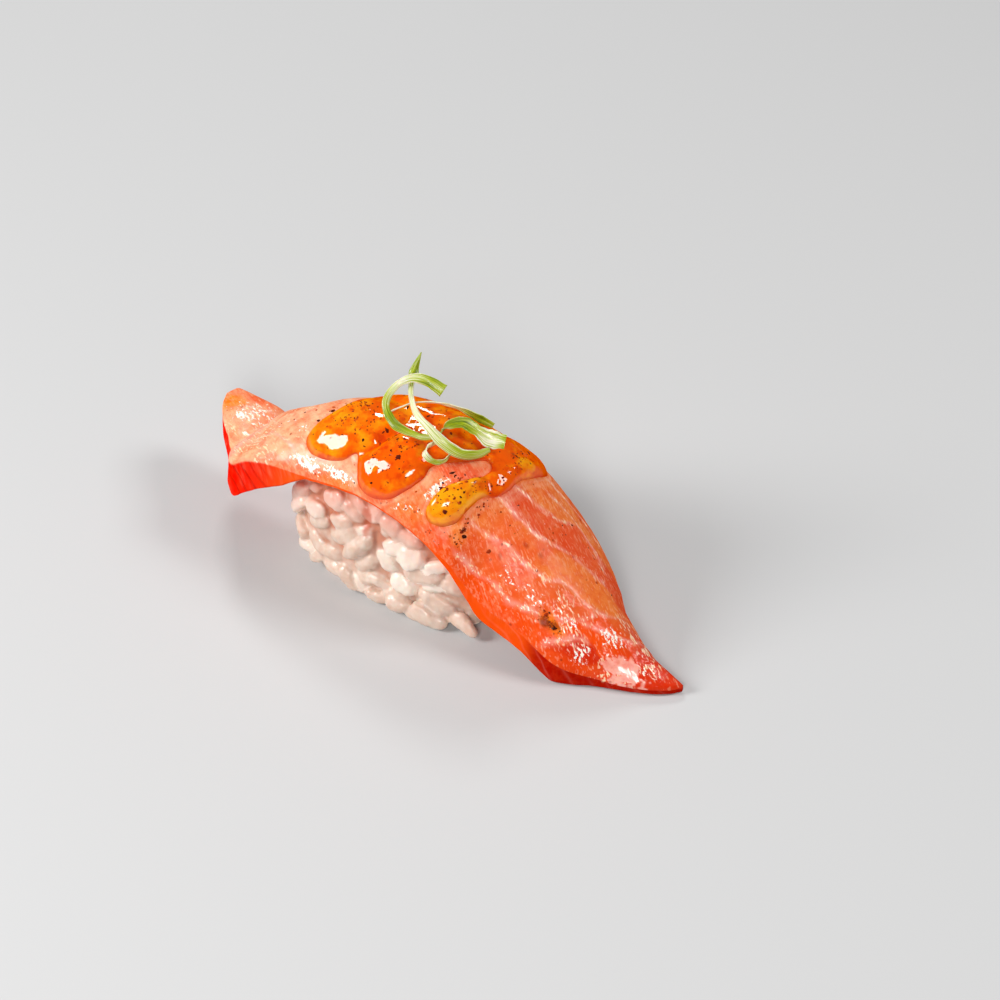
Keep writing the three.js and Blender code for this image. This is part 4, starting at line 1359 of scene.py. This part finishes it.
# Routes, and along each route its widths, the ways that its width points, and its shades from
# dark green at 0 through lime to white at 1, all at even steps.
CURLS = {
    "onion_curl_long": (
        [(11.8, 0.6, 28.7), (10.6, -1.2, 28.5), (8.8, -3.2, 29.4), (6, -3.9, 31), (3.1, -3.4, 32.5),
         (0, -2, 33.2), (-2.8, 1.2, 33.6), (-4.2, 4.4, 34.7), (-4.2, 6.9, 37.2)],
        (0.9, 1.7, 1.9, 1.6, 1.2, 0.9, 0.9, 1.5, 0.15),
        ((0.1, 0.5, 0.9), (0.3, 0.6, 0.5), (0.5, 0.7, 0.3)),
        (0.5, 0.45, 0.55, 0.7, 0.8, 0.9, 0.75, 0.25, 0.35),
    ),
    "onion_curl_loop": (
        [(4.3, -2.9, 30.9), (2.5, -4.1, 30.8), (0.8, -4.5, 31.1), (-0.6, -4.6, 31.3), (-2.5, -4.3, 31.5),
         (-4.9, -2.7, 32.1), (-5.7, -1.1, 33.2), (-5, 1.1, 34.6), (-3.1, 2.5, 35.6), (-0.7, 3.2, 35.4),
         (1.8, 3.5, 34.3)],
        (0.9, 1.0, 1.2, 1.4, 1.4, 1.2, 1.1, 1.3, 1.5, 1.7, 2.3),
        ((0.1, 0.7, 0.6), (0.5, 0.6, 0.4), (0.8, 0.4, 0), (0.4, -0.5, -0.7), (-0.2, -0.7, -0.6)),
        (0.5, 0.5, 0.4, 0.15, 0.1, 0.4, 0.7, 0.95, 0.6, 0.25, 0.5),
    ),
    "onion_curl_arch": (
        [(2.9, -2, 29.8), (3.7, -1, 29.8), (4.4, 0.4, 30.6), (6.4, 1.7, 31.1), (8.6, 2, 30.3),
         (10.7, 2.3, 29.3), (13.1, 3.2, 28.9)],
        (0.7, 0.9, 1.5, 1.9, 1.9, 1.8, 2.6, 2.9, 2.2),
        ((0.3, 0.9, 0.3), (0.2, 0.8, 0.5), (0.2, 0.7, 0.7)),
        (0.6, 0.5, 0.3, 0.1, 0.15, 0.45, 0.85, 0.8, 0.35),
    ),
    "onion_curl_strip": (
        [(-5.2, -1.6, 30.6), (-4.4, -0.2, 30.8), (-2.9, 1.8, 31), (-0.8, 3, 31.3), (1.8, 3.8, 31.4),
         (4.6, 4.5, 31), (7.2, 5.2, 29.8), (9.3, 6, 28.5)],
        (0.2, 0.35, 0.4, 0.5, 0.7, 0.9, 1.2, 1.5, 0.9),
        ((0.3, -0.5, 0.8), (0.3, -0.5, 0.8), (0.2, -0.2, 0.9), (0.2, 0.5, 0.8)),
        (1.0, 1.0, 1.0, 0.95, 0.9, 0.8, 0.4, 0.1, 0.5),
    ),
    "onion_curl_small": (
        [(4.2, -3.2, 29.5), (4.1, -5.3, 30.4), (4.4, -6.7, 30.3), (5.3, -6.7, 29.4),
         (6.2, -6.1, 28.8), (7.0, -5.0, 28.7), (7.0, -3.4, 28.8)],
        (1.2, 1.4, 1.3, 1.1, 0.9, 0.8, 0.7),
        ((0.5, 0.3, 0.8), (0, 0.3, 0.9)),
        (0.6, 0.95, 0.9, 0.4, 0.5, 0.6),
    ),
}
CURL_THICKNESS, CURL_CUP, CURL_RUFFLE = 0.24, 0.12, 0.05
CURL_STEPS, CURL_COLUMNS = 90, 10
ROUTE_STEPS = 40  # between two of a route's points


def route_through(points, steps):
    """Evenly spaced places along a smooth curve through points, and its directions."""
    points = np.array(points, float)
    padded = np.vstack([2 * points[0] - points[1], points, 2 * points[-1] - points[-2]])
    share = np.linspace(0, 1, ROUTE_STEPS, endpoint=False)[:, None]
    stretches = [curve_between(*padded[n : n + 4], share) for n in range(len(points) - 1)]
    fine = np.vstack([*stretches, points[-1]])
    lengths = np.r_[0, np.cumsum(np.linalg.norm(np.diff(fine, axis=0), axis=1))]
    places = np.linspace(0, lengths[-1], steps + 1)
    route = np.stack([np.interp(places, lengths, part) for part in fine.T], -1)
    return route, unit(np.gradient(route, axis=0))


def at_even_steps(values, share):
    """Values between the ones given, which stand at even steps from 0 to 1."""
    values = np.array(values, float)
    steps = np.linspace(0, 1, len(values))
    if values.ndim == 1:
        return np.interp(share, steps, values)
    return np.stack([np.interp(share, steps, part) for part in values.T], -1)


def make_curl(name, points, widths, axes, shades, seed):
    """A thin ribbon along a route, a little cupped, with uneven edges."""
    route, ahead = route_through(points, CURL_STEPS)
    share = np.linspace(0, 1, CURL_STEPS + 1)
    width = at_even_steps(widths, share)
    side = at_even_steps(axes, share)
    side = unit(side - ahead * np.sum(side * ahead, axis=1, keepdims=True))
    face = np.cross(ahead, side)
    across = np.linspace(-1, 1, CURL_COLUMNS + 1)
    edge = 1 + 0.06 * np.sin(share * 23 + seed) + 0.03 * np.sin(share * 61 + 2 * seed)
    out = across * (edge * width / 2)[:, None]
    thick = CURL_THICKNESS * (1 - 0.6 * np.abs(across) ** 4)
    cup = CURL_CUP * width[:, None] * (across**2 - 0.4)
    ruffle = CURL_RUFFLE * np.sin(share * 37 + seed)[:, None] * across
    upper, lower = (
        route[:, None] + out[..., None] * side[:, None] + lift[..., None] * face[:, None]
        for lift in (cup + ruffle + thick / 2, cup + ruffle - thick / 2)
    )
    rings = np.concatenate([upper, lower[:, ::-1]], 1)
    along = np.repeat(share, rings.shape[1])
    place = np.tile(np.r_[across, across[::-1]], len(share))
    every = np.vstack([rings.reshape(-1, 3), rings[0].mean(0), rings[-1].mean(0)])
    attributes = {
        "along": np.r_[along, 0, 1],
        "across": np.r_[place, 0, 0],
        "shade": np.r_[at_even_steps(shades, along), shades[0], shades[-1]],
    }
    faces = tube_faces(*rings.shape[:2], clockwise=True)
    return make_piece(name + "_ribbon", every, faces, attributes)


def onion_material():
    """Green with streaks along the ribbon, paler at its edges."""
    n = Nodes("onion_green")
    dark, lime, pale = colour(90, 114, 4), colour(172, 184, 16), colour(238, 236, 206)
    along, across = n.times(n.value("along"), 3.0), n.times(n.value("across"), 6.0)
    place = n.add("ShaderNodeCombineXYZ", {"X": along, "Y": across}).outputs[0]
    inputs = {"Vector": place, "Scale": 1.0, "Detail": 3.0}
    streaks = n.add("ShaderNodeTexNoise", inputs).outputs["Fac"]
    shade = n.plus(n.value("shade"), n.fit(streaks, 0.3, 0.7, -0.4, 0.45))
    edge = n.fit(n.math("ABSOLUTE", n.value("across"), 0.0), 0.8, 1.0, 0.0, 0.25)
    shade = n.plus(shade, edge)
    tint = n.mix(n.fit(shade, 0.0, 0.5), dark, lime)
    tint = n.mix(n.fit(shade, 0.5, 1.0), tint, pale)
    n.set(
        Base_Color=tint,
        Roughness=0.35,
        Specular_IOR_Level=0.35,
        Subsurface_Weight=0.3,
        Subsurface_Radius=(0.6, 1.0, 0.2),
        Subsurface_Scale=0.5 * MM,
        Coat_Weight=0.25,
        Coat_Roughness=0.15,
        Normal=n.bump(streaks, 0.05),
    )
    return n.material


# ---------------------------------------------------------------- assembly

dress(make_salmon(), salmon_material(), "salmon", "salmon")
dress(make_rice(), rice_material(), "rice", "rice")
dress(make_glaze(), glaze_material(), "glaze", "glaze")
dress(make_pepper(), pepper_material(), "glaze", "glaze")

green = onion_material()
for seed, (name, curl) in enumerate(CURLS.items()):
    dress(make_curl(name, *curl, seed), green, "onion", name)

# ---------------------------------------------------------------- camera, lights and floor

AZIMUTH, ELEVATION = 30, 41.7  # of the camera, in degrees
PIXELS_PER_MM = 6.28
FOCAL_PIXELS = 6300
PICTURE = 1000
RICE_PIXEL = (424, 563)  # where the point under the middle of the rice shows
SENSOR = 36.0
LIGHTS_AIM = Vector((0, 0, 0.015))
FLOOR_HALF = 1.5
FLOOR_GREY, SKY_STRENGTH = 0.6, 0.08
# Soft lights: azimuth and elevation, distance, width and height in metres, and power in watts.
SOFTBOXES = {
    "key": (-52, 30, 0.50, 0.16, 0.20, 1.9),
    "front": (22, 36, 0.55, 0.14, 0.14, 1.3),
    "top": (114, 48, 0.50, 0.16, 0.16, 1.05),
    "back": (-143, 42, 0.50, 0.10, 0.10, 0.7),
}


def way_out(azimuth, elevation):
    """The direction from the food to an azimuth and elevation in degrees."""
    a, e = math.radians(azimuth), math.radians(elevation)
    return np.array([math.sin(a) * math.cos(e), -math.cos(a) * math.cos(e), math.sin(e)])


def add_camera():
    """The photo's view."""
    back = way_out(AZIMUTH, ELEVATION)
    right = np.array([math.cos(math.radians(AZIMUTH)), math.sin(math.radians(AZIMUTH)), 0])
    up = np.cross(back, right)
    distance = FOCAL_PIXELS / PIXELS_PER_MM
    aside = (RICE_PIXEL[0] - PICTURE / 2) / PIXELS_PER_MM
    above = (PICTURE / 2 - RICE_PIXEL[1]) / PIXELS_PER_MM
    place = (distance * back - aside * right - above * up + SHIFT) * MM
    data = bpy.data.cameras.new("camera")
    data.sensor_width = SENSOR
    data.lens = FOCAL_PIXELS / PICTURE * SENSOR
    data.clip_start, data.clip_end = 0.05, 20
    camera = add_object("camera", data)
    camera.matrix_world = Matrix.LocRotScale(
        Vector(place), Matrix(np.stack([right, up, back], 1).tolist()).to_quaternion(), None
    )
    bpy.context.scene.camera = camera


def add_softbox(name, azimuth, elevation, distance, width, height, power):
    """A soft light that looks at the food."""
    out = Vector(way_out(azimuth, elevation))
    data = bpy.data.lights.new(name, "AREA")
    data.shape = "RECTANGLE"
    data.size, data.size_y = width, height
    data.energy = power
    light = add_object(name, data)
    light.location = LIGHTS_AIM + out * distance
    light.rotation_mode = "QUATERNION"
    light.rotation_quaternion = out.to_track_quat("Z", "Y")


def add_floor():
    """A pale table, which isn't part of the food."""
    mesh = bpy.data.meshes.new("floor")
    corners = [(FLOOR_HALF * x, FLOOR_HALF * y, 0) for x, y in ((-1, -1), (1, -1), (1, 1), (-1, 1))]
    mesh.from_pydata(corners, [], [(0, 1, 2, 3)])
    floor = add_object("floor", mesh)
    n = Nodes("floor_pale")
    n.set(Base_Color=(FLOOR_GREY, FLOOR_GREY, FLOOR_GREY, 1), Roughness=0.8)
    mesh.materials.append(n.material)


def add_world():
    """A faint even light from all round."""
    world = bpy.data.worlds.new("studio")
    world.use_nodes = True
    sky = world.node_tree.nodes["Background"]
    sky.inputs["Color"].default_value = (1, 1, 1, 1)
    sky.inputs["Strength"].default_value = SKY_STRENGTH
    bpy.context.scene.world = world


add_camera()
add_floor()
for name, values in SOFTBOXES.items():
    add_softbox(name, *values)
add_world()
bpy.context.scene.view_settings.view_transform = "Standard"
